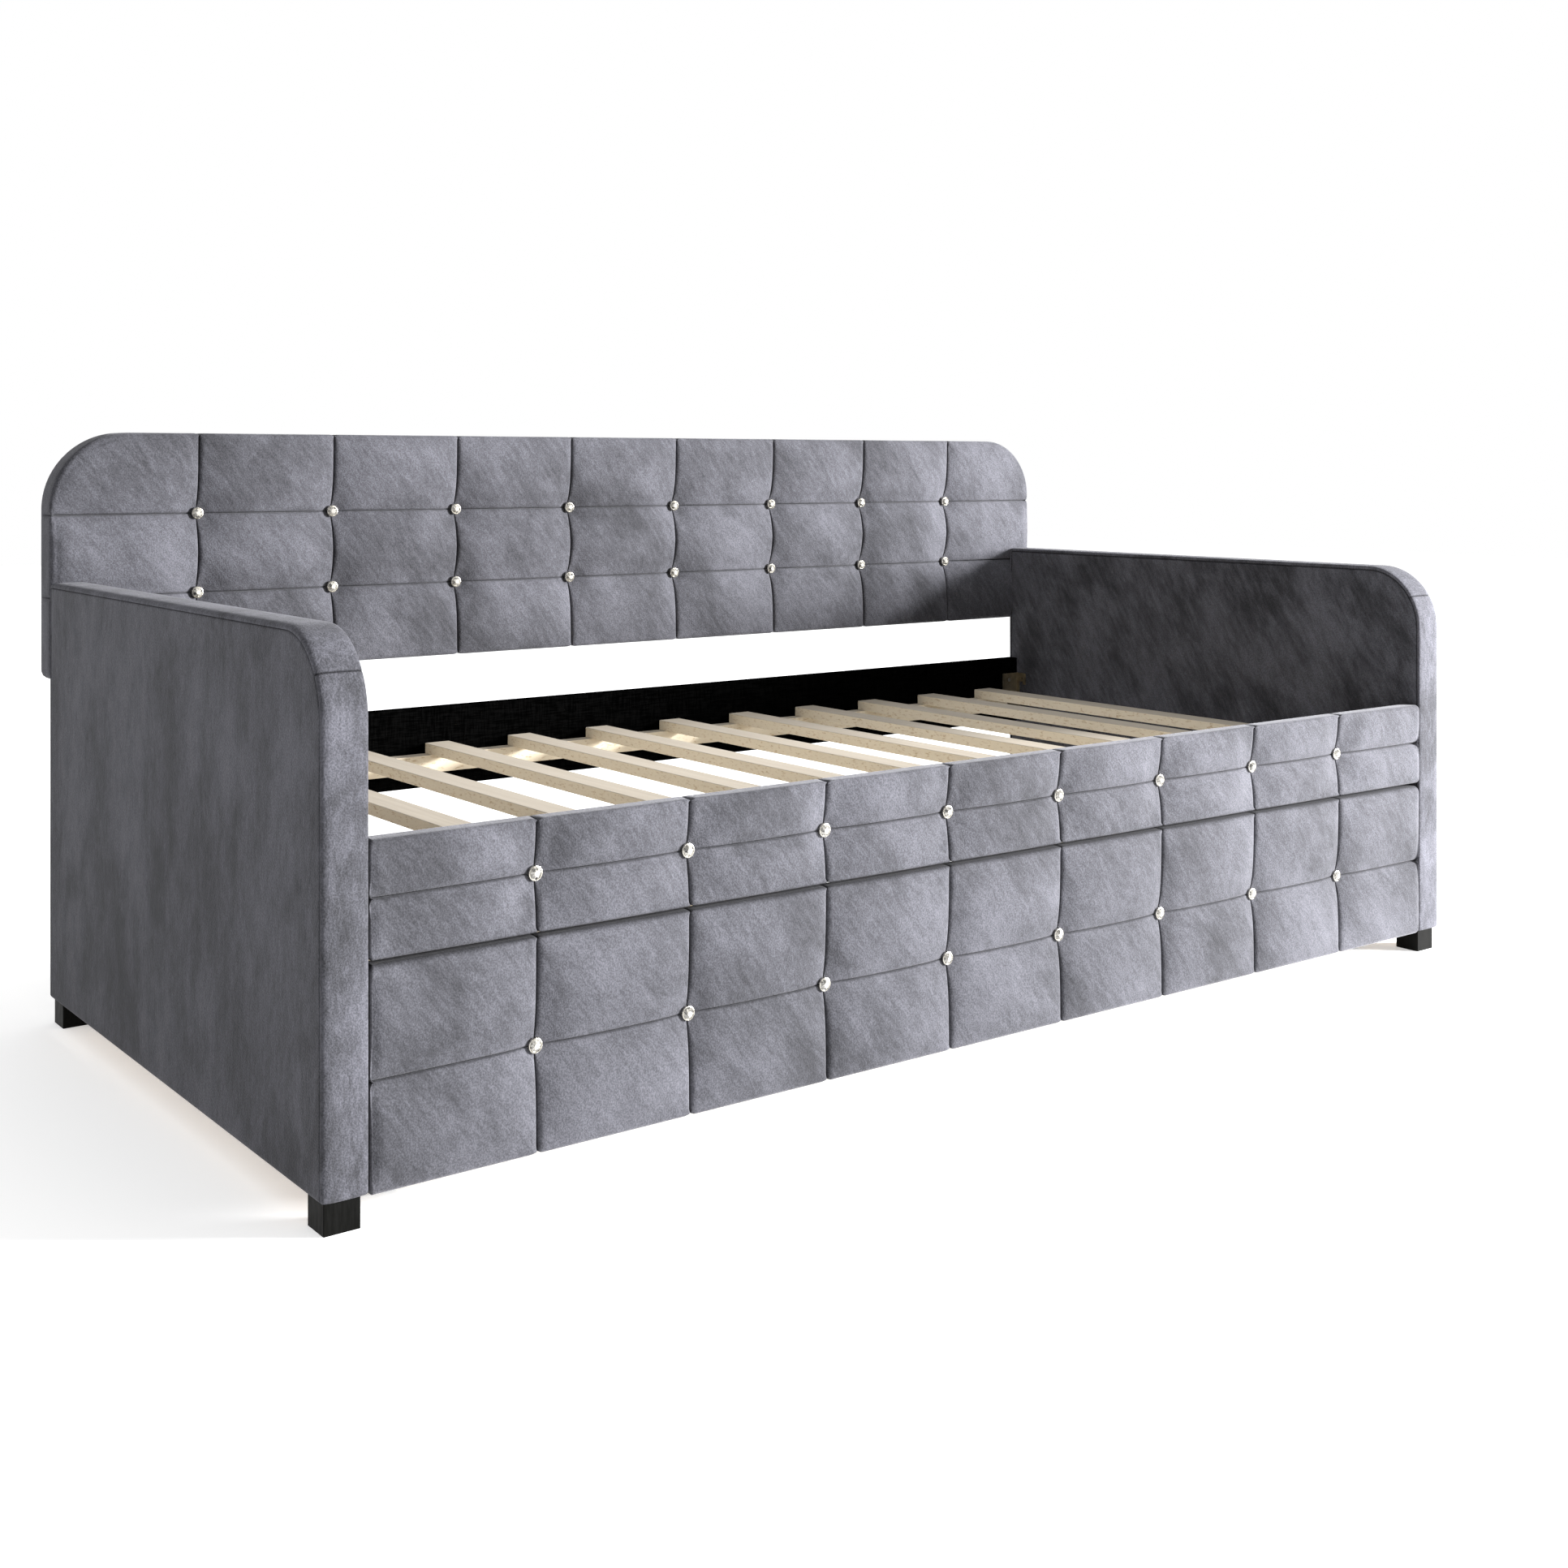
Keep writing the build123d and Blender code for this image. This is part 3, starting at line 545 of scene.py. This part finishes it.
def painted_seam_shade(x, z, seams_x, seams_z):
    """Painted shade in the seams, 0 to 1: full in the upright ones, which are pressed shut, and half
    in the others.
    """
    upright = np.exp(-(nearest(x, seams_x) / (0.8 * MM)) ** 2)
    level = 0.5 * np.exp(-(nearest(z, seams_z) / (1.5 * MM)) ** 2)
    return np.maximum(upright, level)


def crease_at_edge(along, seams):
    """How far the edge is drawn in where a seam runs over it."""
    return 1.3 * CREASE * rolled(nearest(along, seams))


# %% [markdown]
# ## Puffing up by cloth simulation
#
# The depth formula gives nearly all of the tufted shape. Between seams and buttons the
# foam also pushes the cloth out a little, and Blender's cloth works out how much. The fine
# grid is too slow to simulate, so a coarse sheet of the same shape stands in for it: its
# points at seams, buttons and edges are pinned, pressure acts from inside, and gravity is
# off. Each point's move is read back and capped, the sheet is deleted, and the moves are
# spread over the fine grid, so that the finished piece is plain mesh.

# %% Cloth simulation
def puffed(name, points, held, pressure, frames, cap):
    """How far each point of a (rows, columns, 3) sheet moves when it is inflated, up to cap.

    held is 1 where a point is sewn down. A point in between moves by its share.
    """
    rows, columns = held.shape
    mesh = bpy.data.meshes.new(name)
    mesh.from_pydata(points.reshape(-1, 3).tolist(), [], grid_faces(rows, columns).tolist())
    sheet = bpy.data.objects.new(name, mesh)
    bpy.context.scene.collection.objects.link(sheet)
    group = sheet.vertex_groups.new(name="held")
    group.add(np.nonzero(held.ravel() > 0.5)[0].tolist(), 1.0, "REPLACE")
    modifier = sheet.modifiers.new("cloth", "CLOTH")
    cloth = modifier.settings
    cloth.quality = 3
    cloth.mass = 0.15
    cloth.tension_stiffness = 8
    cloth.compression_stiffness = 6
    cloth.shear_stiffness = 3
    cloth.bending_stiffness = 0.3
    cloth.vertex_group_mass = "held"
    cloth.shrink_min = -0.015
    cloth.use_pressure = True
    cloth.uniform_pressure_force = pressure
    cloth.effector_weights.gravity = 0
    modifier.collision_settings.use_collision = False
    modifier.point_cache.frame_start = 1
    modifier.point_cache.frame_end = frames
    scene = bpy.context.scene
    for step in range(1, frames + 1):
        scene.frame_set(step)
    shaped = sheet.evaluated_get(bpy.context.evaluated_depsgraph_get()).data
    moved = np.empty(rows * columns * 3)
    shaped.vertices.foreach_get("co", moved)
    scene.frame_set(1)
    change = moved.reshape(rows, columns, 3) - points
    length = np.linalg.norm(change, axis=2, keepdims=True)
    change *= np.minimum(1, cap / np.maximum(length, 1e-9)) * (1 - held[..., None])
    bpy.data.objects.remove(sheet)
    bpy.data.meshes.remove(mesh)
    largest = round(float(length.max()) / MM, 1)
    print("puffed", name, "on", rows, "x", columns, "largest move before the cap", largest, "mm")
    return change


def spread_weights(fine, coarse):
    """Matrix that takes values at the coarse places to the fine ones, in straight lines."""
    return np.stack([np.interp(fine, coarse, unit) for unit in np.eye(len(coarse))], axis=1)


def smoothed(values, passes):
    """Average each point with its neighbours in both directions, passes times; edges stay."""
    for _ in range(passes):
        values[1:-1] = (values[:-2] + 2 * values[1:-1] + values[2:]) / 4
        values[:, 1:-1] = (values[:, :-2] + 2 * values[:, 1:-1] + values[:, 2:]) / 4
    return values


# %% Tufted panel
BUTTONS_ACROSS = 8
SHEET_COLUMNS = 20     # of the simulated sheet, for each puff
SHEET_ROWS = 12
SHEET_PRESSURE = 4
SHEET_FRAMES = 8
SHEET_CAP = 4 * MM     # no point of the cloth moves further than this
SMOOTHING_PASSES = 4
SEAM_HOLD = 4 * MM     # how far from a seam the cloth is still held
BUTTON_HOLD = 12 * MM  # and from a button
BOARD_CLEARANCE = 0.5 * MM
GAP_DRAW = 0.4         # share of the draw left where an edge lies in a narrow gap


def button_grid(node):
    """Places of a panel's seams, read from the box of its buttons: 8 across, 1 or 2 rows high."""
    low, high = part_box(node)
    rail_low, rail_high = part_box("front_rail_buttons")
    radius = (rail_high.z - rail_low.z) / 2
    rows = 2 if high.z - low.z > 4 * radius else 1
    heights = np.linspace(low.z, high.z, rows) + (radius * np.array([1, -1]) if rows > 1 else radius)
    return np.linspace(low.x + radius, high.x - radius, BUTTONS_ACROSS), heights


def held_down(x, z, seams_x, seams_z):
    """1 at seams and round buttons, falling to 0 over a few millimetres; 1 at the border."""
    sewn_x = np.exp(-(nearest(x, seams_x) / SEAM_HOLD) ** 2)
    sewn_z = np.exp(-(nearest(z, seams_z) / SEAM_HOLD) ** 2)
    away = np.hypot(nearest(x, seams_x), nearest(z, seams_z))
    held = np.maximum(np.maximum(sewn_x, sewn_z), np.clip(1.8 - away / BUTTON_HOLD, 0, 1))
    held[[0, -1], :] = 1
    held[:, [0, -1]] = 1
    return held


def front_sheet(share, z, seams_x, inner_x, reach):
    """x of every point: straight rows, squeezed only outside the outermost seams."""
    edge_share = seams_x[-1] / inner_x
    outer = np.clip((np.abs(share) - edge_share) / (1 - edge_share), 0, 1)
    inner = np.minimum(np.abs(share), edge_share) * inner_x
    x = np.sign(share) * (inner + outer * (reach[:, None] - seams_x[-1]))
    return x, np.broadcast_to(z[:, None], x.shape)


def tufted_cover(name, pad, buttons, body, end_edge, edge, low_corner, high_corner, crown, recess,
                 proud, gap_side=0):
    """Velvet cover of one tufted pad: a tufted front, rolled edges and a lip at the back.

    proud is how far the cloth swells past the pad at its bottom and at its top. gap_side is
    how strong the painted shade is on an edge that lies in a narrow gap: above 0 at the top
    edge, below 0 at the bottom edge. That painted shade is fixed, so it stays when the trundle is
    rolled out.
    """
    low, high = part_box(pad)
    low.z -= proud[0]
    high.z += proud[1]
    seams_x, seams_z = button_grid(buttons)
    inner_x = high.x - end_edge
    inner_low, inner_high = low.z + edge, high.z - edge
    stops_z = [inner_low, *seams_z, inner_high]
    stops_x = [-inner_x, *seams_x, inner_x]
    half_z = (high.z - low.z) / (len(seams_z) + 1) / 2
    board_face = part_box(pad.replace("_pad", "_board"))[0].y
    deepest = board_face - crown - BOARD_CLEARANCE       # the cloth stops at the board

    def sheet(share, z):
        reach = rounded_reach(z, inner_low, inner_high, inner_x, low_corner, high_corner)
        x, zz = front_sheet(share, z, seams_x, inner_x, reach)
        depth = tuft_depth(x, zz, seams_x, seams_z, half_z, recess)
        return x, zz, crown + np.minimum(depth, deepest)

    z = seam_spaced(stops_z)
    share = seam_spaced(stops_x) / inner_x
    x, zz, y = sheet(share, z)
    rows, columns = x.shape
    front = np.stack([x, y, zz], axis=-1)
    rough_z = np.interp(np.arange(SHEET_ROWS * (len(stops_z) - 1) + 1) / SHEET_ROWS,
                        np.arange(len(stops_z)), stops_z)
    rough_share = np.interp(np.arange(SHEET_COLUMNS * (len(stops_x) - 1) + 1) / SHEET_COLUMNS,
                            np.arange(len(stops_x)), stops_x) / inner_x
    rough_x, rough_zz, rough_y = sheet(rough_share, rough_z)
    held = held_down(rough_x, rough_zz, seams_x, seams_z)
    rough = np.stack([rough_x, rough_y, rough_zz], axis=-1)
    change = puffed(name, rough, held, SHEET_PRESSURE, SHEET_FRAMES, SHEET_CAP)
    change = np.einsum("ar,rck->ack", spread_weights(z, rough_z), change)
    change = np.einsum("bc,ack->abk", spread_weights(share, rough_share), change)
    free = 1 - held_down(x, zz, seams_x, seams_z)
    front += smoothed(change, SMOOTHING_PASSES) * np.minimum(free * 1.5, 1)[..., None]
    front = front.reshape(-1, 3)
    border = border_loop(rows, columns)
    loop = front[border]
    flat = loop[:, [0, 2]]
    normal = outward(flat)
    on_side = np.abs(normal[:, 0]) > 0.8
    draw = np.where(on_side, crease_at_edge(flat[:, 1], seams_z), crease_at_edge(flat[:, 0], seams_x))
    draw = np.where(normal[:, 1] * gap_side > 0.4, GAP_DRAW * draw, draw)
    points = [front]
    shades = [painted_seam_shade(x, zz, seams_x, seams_z).ravel()]
    quads = [grid_faces(rows, columns)]
    previous = border
    count = len(front)
    back = high.y
    thick = back - crown
    # Each ring is (share of the edge outward, share of the edge's own depth, plain depth).
    profile = [(math.sin(a), 1 - math.cos(a), 0) for a in np.linspace(0, math.pi / 2, 7)[1:]]
    profile += [(1, 1, thick * t) for t in (0.4, 0.6, 0.76, 0.86)]
    profile += [(0.96, 1, thick * 0.9), (0.8, 1, thick), (0.2, 1, thick), (0.2, 1, thick - 2 * MM)]
    edges = np.stack([np.full(len(border), end_edge), np.full(len(border), edge)], axis=1)
    edge_depth = (edges * normal ** 2).sum(axis=1)
    start_depth = loop[:, 1] - crown
    for outward_share, depth_share, plain in profile:
        behind = np.minimum(np.maximum(edge_depth * depth_share, plain), thick)
        fade = 1 - min(outward_share if plain == 0 else 1, 1) ** 2
        held = draw * min(1, depth_share) * (1 - min(plain / thick, 1))
        moved = normal * (edges * outward_share - held[:, None])
        ring_y = crown + behind + start_depth * fade * (1 - behind / thick)
        ring = np.stack([flat[:, 0] + moved[:, 0], ring_y, flat[:, 1] + moved[:, 1]], axis=1)
        points.append(ring)
        # Painted shade on an edge that lies in the narrow gap between the front rail and the trundle.
        painted_gap_shade = (normal[:, 1] * np.sign(gap_side) > 0.5) * abs(gap_side) * outward_share ** 4
        shades.append(np.maximum(shades[0][border] * (1 - min(plain / thick, 1)), painted_gap_shade))
        numbers = count + np.arange(len(border))
        quads.append(loop_faces(previous, numbers))
        previous = numbers
        count += len(border)
    points = np.concatenate(points)
    quads = np.concatenate(quads)
    cover = make_object(name, points, quads, panel_velvet, caps=[previous[::-1]])
    set_painted_seam_shade(cover, np.concatenate(shades))
    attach(cover, body)
    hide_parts(pad)
    print(name, "grid", rows, "x", columns, "points", len(points))
    return cover


rail_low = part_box("front_rail_pad")[0]
back_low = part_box("backrest_pad")[0]
END_EDGE = 2.5 * MM
FRONT_CROWN = rail_low.y + 5 * MM     # level with the arms' front, before the cloth is puffed
RAIL_EDGE = 7 * MM
TRUNDLE_EDGE = 10 * MM
BACK_EDGE = 10 * MM
tufted_cover("front_rail_velvet", "front_rail_pad", "front_rail_buttons", "daybed",
             END_EDGE, RAIL_EDGE, 2 * MM, 2 * MM, FRONT_CROWN, 16.4 * MM, (2.5 * MM, 0), -0.95)
tufted_cover("trundle_front_velvet", "trundle_front_pad", "trundle_front_buttons", "trundle",
             END_EDGE, TRUNDLE_EDGE, 2 * MM, 2 * MM, FRONT_CROWN, 16.4 * MM, (0, 3.5 * MM), 0.75)
tufted_cover("backrest_velvet", "backrest_pad", "backrest_buttons", "daybed",
             BACK_EDGE, BACK_EDGE, 4 * MM, 110 * MM, back_low.y, 24 * MM, (0, 0))

# %% [markdown]
# ## Arms
#
# Each arm is a board with foam on both faces and round its edge. Three pieces of velvet
# cover it: a flat panel on each face, and one long strip, the border, that runs up the
# front, over the big corner, along the top and down the back. The seams that join them
# lie on the faces, a few millimetres in from the edge. The border is a closed section
# carried along the arm's outline; the panels are grids that roll down into the seam.

# %% Outline of an arm
ARM_CORNER = 105 * MM
ARM_BACK_CORNER = 10 * MM
SEAM_IN = 7.5 * MM          # from the arm's edge to the seam on its face
SEAM_FALL = 1.5 * MM
arm_low, arm_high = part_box("right_arm_border")
core_low, core_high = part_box("right_arm_core")
arm_low.y -= 3 * MM         # the cloth of the strip swells this far forward


def arc(centre, radius, start, end, count):
    """Points and outward normals of an arc, by its angles in degrees."""
    angle = np.radians(np.linspace(start, end, count))
    normal = np.stack([np.cos(angle), np.sin(angle)], axis=1)
    return np.asarray(centre) + radius * normal, normal


def straight(start, end, normal, step):
    """Points and normals of a straight run, about step apart, without its two ends."""
    length = math.dist(start, end)
    share = np.linspace(0, 1, max(int(length / step), 2) + 1)[1:-1, None]
    points = np.asarray(start) * (1 - share) + np.asarray(end) * share
    return points, np.tile(normal, (len(points), 1))


def arm_path(step):
    """The arm's edge in (y, z), from the bottom of its front to the bottom of its back."""
    front, back, low, high = arm_low.y, arm_high.y, arm_low.z, arm_high.z
    bend = (front + ARM_CORNER, high - ARM_CORNER)
    turn = (back - ARM_BACK_CORNER, high - ARM_BACK_CORNER)
    ends = [(np.array([[front, low]]), np.array([[-1.0, 0]])),
            (np.array([[back, low]]), np.array([[1.0, 0]]))]
    runs = [ends[0],
            straight((front, low), (front, bend[1]), (-1, 0), step),
            arc(bend, ARM_CORNER, 180, 90, 170),
            straight((bend[0], high), (turn[0], high), (0, 1), step),
            arc(turn, ARM_BACK_CORNER, 90, 0, 12),
            straight((back, turn[1]), (back, low), (1, 0), step),
            ends[1]]
    return np.concatenate([run[0] for run in runs]), np.concatenate([run[1] for run in runs])


# %% Border strip
BORDER_ROUND = 7.0 * MM       # how far back the strip's outer edge is rounded
BORDER_INNER = 3.5 * MM       # and its inner edge
BORDER_POWER = 3.5
STITCH = 6.0 * MM
STITCH_PUCKER = 0.3 * MM
STRIP_STEP = 1.8 * MM         # between two sections along the arm's outline
STRIP_DEPTH = 9.5 * MM        # how deep the strip's hidden back lies
UNDER_TURN = 5 * MM           # radius over which cloth turns under or into a seam
JOIN_HEIGHT = 621 * MM


def border_section():
    """Closed section (across, outward): a superellipse, rolled to its seams, with a flat back."""
    half = (arm_high.x - arm_low.x) / 2
    angle = np.linspace(0, math.pi, 25)
    across = half * np.sign(np.cos(angle)) * np.abs(np.cos(angle)) ** (2 / BORDER_POWER)
    depth = np.where(across > 0, BORDER_ROUND, BORDER_INNER)
    outward_by = depth * (np.abs(np.sin(angle)) ** (2 / BORDER_POWER) - 1)
    front = np.stack([across, outward_by], axis=1)
    fall = [(SEAM_FALL * 0.06, 0.45), (SEAM_FALL * 0.35, 0.8), (SEAM_FALL, 1.0)]
    rolls = [np.array([(half - drop, -deep - share * (SEAM_IN - deep)) for drop, share in fall])
             for deep in (BORDER_ROUND, BORDER_INNER)]
    inner = (core_high.x - core_low.x) / 2 + 0.5 * MM
    hidden = np.array([(inner, -SEAM_IN), (inner, -STRIP_DEPTH),
                       (-inner, -STRIP_DEPTH), (-inner, -SEAM_IN)])
    section = np.concatenate([rolls[0][::-1], front, rolls[1] * (-1, 1), hidden[::-1]])
    seam_rows = np.zeros(len(section))
    visible = 2 * len(fall) + len(front)
    seam_rows[[0, 1, visible - 1, visible - 2]] = 1
    shown = np.arange(len(section)) < visible
    return section, seam_rows, shown


def arm_border(side_name, side):
    """The border strip of one arm: the section carried along the outline, puckered at its seams."""
    section, seam_rows, shown = border_section()
    path, normal = arm_path(STRIP_STEP)
    run = np.concatenate([[0], np.cumsum(np.linalg.norm(np.diff(path, axis=0), axis=1))])
    across = np.broadcast_to(section[:, 0], (len(path), len(section))).copy()
    out = np.broadcast_to(section[:, 1], across.shape).copy()
    pucker = STITCH_PUCKER * (1 + np.cos(2 * math.pi * run / STITCH))
    across -= np.sign(across) * pucker[:, None] * seam_rows
    join = np.exp(-((path[:, 1] - JOIN_HEIGHT) / (1.3 * MM)) ** 2) * (path[:, 0] < 0)
    out -= 1.3 * MM * join[:, None] * shown * (out > -BORDER_ROUND * 0.9)
    # The cloth turns under at both bottom ends over a quarter circle.
    for last in (0, -1):
        start_height = path[last, 1]
        close = np.clip((path[:, 1] - start_height) / UNDER_TURN, 0, 1)
        end_side = (path[:, 0] < 0) if last == 0 else (path[:, 0] > 0)
        tuck = UNDER_TURN * (1 - np.sqrt(1 - (1 - close) ** 2)) * end_side
        out -= tuck[:, None] * shown * (out > -BORDER_ROUND)
        across -= np.sign(across) * np.minimum(tuck[:, None], 4 * MM) * shown
    middle = side * (arm_low.x + arm_high.x) / 2
    points = np.empty(across.shape + (3,))
    points[..., 0] = middle + side * across
    points[..., 1] = path[:, None, 0] + normal[:, None, 0] * out
    points[..., 2] = path[:, None, 1] + normal[:, None, 1] * out
    size = len(section)
    ring = np.arange(size)
    quads = [loop_faces(row * size + ring, (row + 1) * size + ring) for row in range(len(path) - 1)]
    quads = np.concatenate(quads)
    caps = [ring[::-1], (len(path) - 1) * size + ring]
    if side < 0:
        quads = quads[:, ::-1]
    else:
        caps = [cap[::-1] for cap in caps]
    name = f"{side_name}_arm_border_velvet"
    strip = make_object(name, points.reshape(-1, 3), quads, lightened_strip_velvet, caps)
    # Painted shade in the seams: along the stitched seams it varies with each stitch, and it also
    # lies along the join at JOIN_HEIGHT.
    painted_stitch_shade = 0.62 + 0.2 * np.cos(2 * math.pi * run / STITCH)
    painted_join_shade = 0.85 * np.exp(-((path[:, 1] - JOIN_HEIGHT) / (1.1 * MM)) ** 2) * (path[:, 0] < 0)
    set_painted_seam_shade(strip, np.maximum(painted_stitch_shade[:, None] * seam_rows, painted_join_shade[:, None] * shown))
    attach(strip, "daybed")
    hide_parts(f"{side_name}_arm_border")
    print(name, "rings", len(path), "points", len(path) * size)


# %% Face panels
PANEL_ROWS = 84
PANEL_COLUMNS = 120
BACK_CLEARANCE = 0.2 * MM     # between a panel's flat back and the arm's board


def inside_distance(y, z, low_y, high_y, low_z, high_z, front_radius, back_radius):
    """Distance inward from an outline whose two upper corners are rounded; the bottom is apart."""
    distance = np.minimum(np.minimum(y - low_y, high_y - y), high_z - z)
    corners = ((low_y + front_radius, front_radius, -1), (high_y - back_radius, back_radius, 1))
    for corner_y, radius, facing in corners:
        corner_z = high_z - radius
        inside = (facing * (y - corner_y) > 0) & (z > corner_z)
        rounded = radius - np.hypot(y - corner_y, z - corner_z)
        distance = np.where(inside, rounded, distance)
    return np.maximum(distance, 0), z - low_z


def arm_panel(side_name, face_name, side):
    """One face of an arm: a flat grid that rolls down into the seam and under at the bottom."""
    outer = face_name == "outer"
    face = arm_high.x if outer else arm_low.x
    board = core_high.x if outer else core_low.x
    toward = 1 if outer else -1
    low_y, high_y = arm_low.y + SEAM_IN, arm_high.y - SEAM_IN
    low_z, high_z = arm_low.z, arm_high.z - SEAM_IN
    front_radius, back_radius = ARM_CORNER - SEAM_IN, ARM_BACK_CORNER - SEAM_IN
    z = crowded([low_z, high_z], [PANEL_ROWS])
    share = crowded([0, 1], [PANEL_COLUMNS])
    from_top = np.clip((z - (high_z - front_radius)) / front_radius, 0, 1)
    front = low_y + front_radius * (1 - np.sqrt(1 - from_top ** 2))
    from_back = np.clip((z - (high_z - back_radius)) / back_radius, 0, 1)
    back = high_y - back_radius * (1 - np.sqrt(1 - from_back ** 2))
    y = front[:, None] + share * (back - front)[:, None]
    zz = np.broadcast_to(z[:, None], y.shape)
    from_seam, from_bottom = inside_distance(y, zz, low_y, high_y, low_z, high_z,
                                             front_radius, back_radius)
    stitch = STITCH_PUCKER * (1 + np.cos(2 * math.pi * (y + zz) / STITCH))
    roll = np.clip(from_seam / UNDER_TURN, 0, 1)
    fall = (SEAM_FALL + stitch) * (1 - np.sqrt(1 - (1 - roll) ** 2))
    under = np.clip(from_bottom / UNDER_TURN, 0, 1)
    tuck = UNDER_TURN * (1 - np.sqrt(1 - (1 - under) ** 2))
    drop = np.maximum(fall, tuck)
    x = face - toward * drop
    front_face = np.stack([side * x, y, zz], axis=-1).reshape(-1, 3)
    border = border_loop(*y.shape)
    back_ring = front_face[border].copy()
    back_ring[:, 0] = side * (board + toward * BACK_CLEARANCE)
    points = np.concatenate([front_face, back_ring])
    numbers = len(front_face) + np.arange(len(border))
    quads = np.concatenate([grid_faces(*y.shape), loop_faces(border, numbers)])
    cap = numbers[::-1]
    if side * toward < 0:
        quads = quads[:, ::-1]
        cap = cap[::-1]
    name = f"{side_name}_arm_{face_name}_velvet"
    panel = make_object(name, points, quads, shaded_arm_velvet if outer else inner_velvet, [cap])
    # Painted shade along the seam round the panel.
    shade = 0.7 * np.exp(-(from_seam / (1.2 * MM)) ** 2).ravel()
    set_painted_seam_shade(panel, np.concatenate([shade, shade[border]]))
    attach(panel, "daybed")
    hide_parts(f"{side_name}_arm_{face_name}_pad")
    print(name, "points", len(points))


for side_name, side in (("left", -1), ("right", 1)):
    arm_border(side_name, side)
    for face_name in ("outer", "inner"):
        arm_panel(side_name, face_name, side)

# %% [markdown]
# ## Crystal buttons
#
# Each button is a cut glass stone in a thin silver cup. The stone has the crown of a
# brilliant: an eight-sided table, eight star facets, eight kites and sixteen small
# facets at the girdle. Facets stay flat, and each gets a tint of its own. The tint is a
# painted reflection: it stands in for the different part of the room that a foil behind
# the stone throws back through each of them.

# %% Crystal and silver
def crystal():
    """Cut glass over foil: mirror-bright facets, with painted reflections from dark champagne to
    white.
    """
    material, tree, shader, coordinates = new_material("cut_crystal")
    # Painted reflection: each of the stone's facets has its own random tint in this attribute.
    tint = add(tree, "ShaderNodeAttribute", attribute_name="painted_facet_reflection").outputs["Fac"]
    colour = blend(tree, ramp(tree, tint, 0.05, 0.7), linear("#282725"), linear("#a3a099"))
    veil = noise(tree, coordinates, 2.5, 2)
    colour = blend(tree, ramp(tree, veil, 0.35, 0.65, 0, 0.2), colour, linear("#c8c5be"))
    tree.links.new(colour, shader.inputs["Base Color"])
    finish(shader, 0.12, Metallic=0.35, IOR=1.56, Coat_Weight=1.0, Coat_Roughness=0.03)
    return material


crystal_stone = crystal()
silver_cup = metal("silver_cup", "#a8a49b", "#cfccc4", 0.25, 3)

# %% Button shape
STONE_SIDES = 16


def turn_levels(levels):
    """Rings of points about the origin, one for each (radius, height, first angle, count)."""
    rings = []
    for radius, height, first, count in levels:
        angle = (first + np.arange(count) * (STONE_SIDES // count)) * 2 * math.pi / STONE_SIDES
        rings.append(np.stack([radius * np.cos(angle), radius * np.sin(angle),
                               np.full(count, height)], axis=1))
    return np.concatenate(rings) * MM


def button_faces():
    """Faces of one button: its back, four bands of the cup, then the stone's 33 facets."""
    n = STONE_SIDES
    ring = np.arange(n)
    faces = [list(ring[::-1])]
    for level in range(4):
        low, high = level * n + ring, (level + 1) * n + ring
        faces += loop_faces(low, high)[:, ::-1].tolist()
    cup = len(faces)
    girdle = 4 * n
    middle = 5 * n
    table = middle + n // 2
    for j in range(n // 2):
        ahead = (j + 1) % (n // 2)
        g_here, g_next, g_last = girdle + 2 * j, girdle + 2 * j + 1, girdle + (2 * j - 1) % n
        faces.append([table + (j - 1) % (n // 2), middle + j, table + j])
        faces.append([table + j, middle + j, g_next, middle + ahead])
        faces.append([middle + j, g_here, g_next])
        faces.append([middle + j, g_last, g_here])
    faces.append([table + j for j in range(n // 2)])
    return faces, cup


def button_row(name, node, places, front, depth, body):
    """All the buttons of one panel as one mesh, each turned by a seeded angle."""
    # Millimetres of radius and height, then where a ring starts and how many points it has.
    levels = [(9.5, -depth / MM, 0, 16), (9.5, -1.6, 0, 16), (9.1, -0.3, 0, 16), (8.3, 0, 0, 16),
              (7.7, -0.7, 0, 16), (5.8, 1.9, 0, 8), (3.5, 3.2, 1, 8)]
    shape = turn_levels(levels)
    faces, cup = button_faces()
    random = np.random.default_rng(len(name))
    points, all_faces, painted_reflection_tints = [], [], []
    for number, (x, z) in enumerate(places):
        spin = random.uniform(0, math.pi / 4)
        turned_x = shape[:, 0] * math.cos(spin) - shape[:, 1] * math.sin(spin)
        turned_z = shape[:, 0] * math.sin(spin) + shape[:, 1] * math.cos(spin)
        points.append(np.stack([x + turned_x, front - shape[:, 2], z + turned_z], axis=1))
        all_faces += [[point + number * len(shape) for point in face] for face in faces]
        # Painted reflections: a random tint for each face of the stone, and a middling one for its
        # table.
        facets = random.uniform(0, 1, len(faces))
        facets[-1] = random.uniform(0.45, 0.8)
        painted_reflection_tints.append(facets)
    mesh = bpy.data.meshes.new(name)
    mesh.from_pydata(np.concatenate(points).tolist(), [], all_faces)
    mesh.materials.append(silver_cup)
    mesh.materials.append(crystal_stone)
    stone = np.tile(np.arange(len(faces)) >= cup, len(places))
    mesh.polygons.foreach_set("material_index", stone.astype(np.int32))
    mesh.polygons.foreach_set("use_smooth", np.zeros(len(stone), dtype=bool))
    mesh.attributes.new("painted_facet_reflection", "FLOAT", "FACE").data.foreach_set("value", np.concatenate(painted_reflection_tints))
    mesh.update()
    item = bpy.data.objects.new(name, mesh)
    bpy.context.scene.collection.objects.link(item)
    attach(item, body)
    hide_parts(node)
    print(name, "buttons", len(places))


for panel, body in (("backrest", "daybed"), ("front_rail", "daybed"), ("trundle_front", "trundle")):
    node = f"{panel}_buttons"
    low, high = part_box(node)
    across, heights = button_grid(node)
    places = [(x, z) for z in heights for x in across]
    button_row(f"{panel}_crystals", node, places, low.y, high.y - low.y, body)
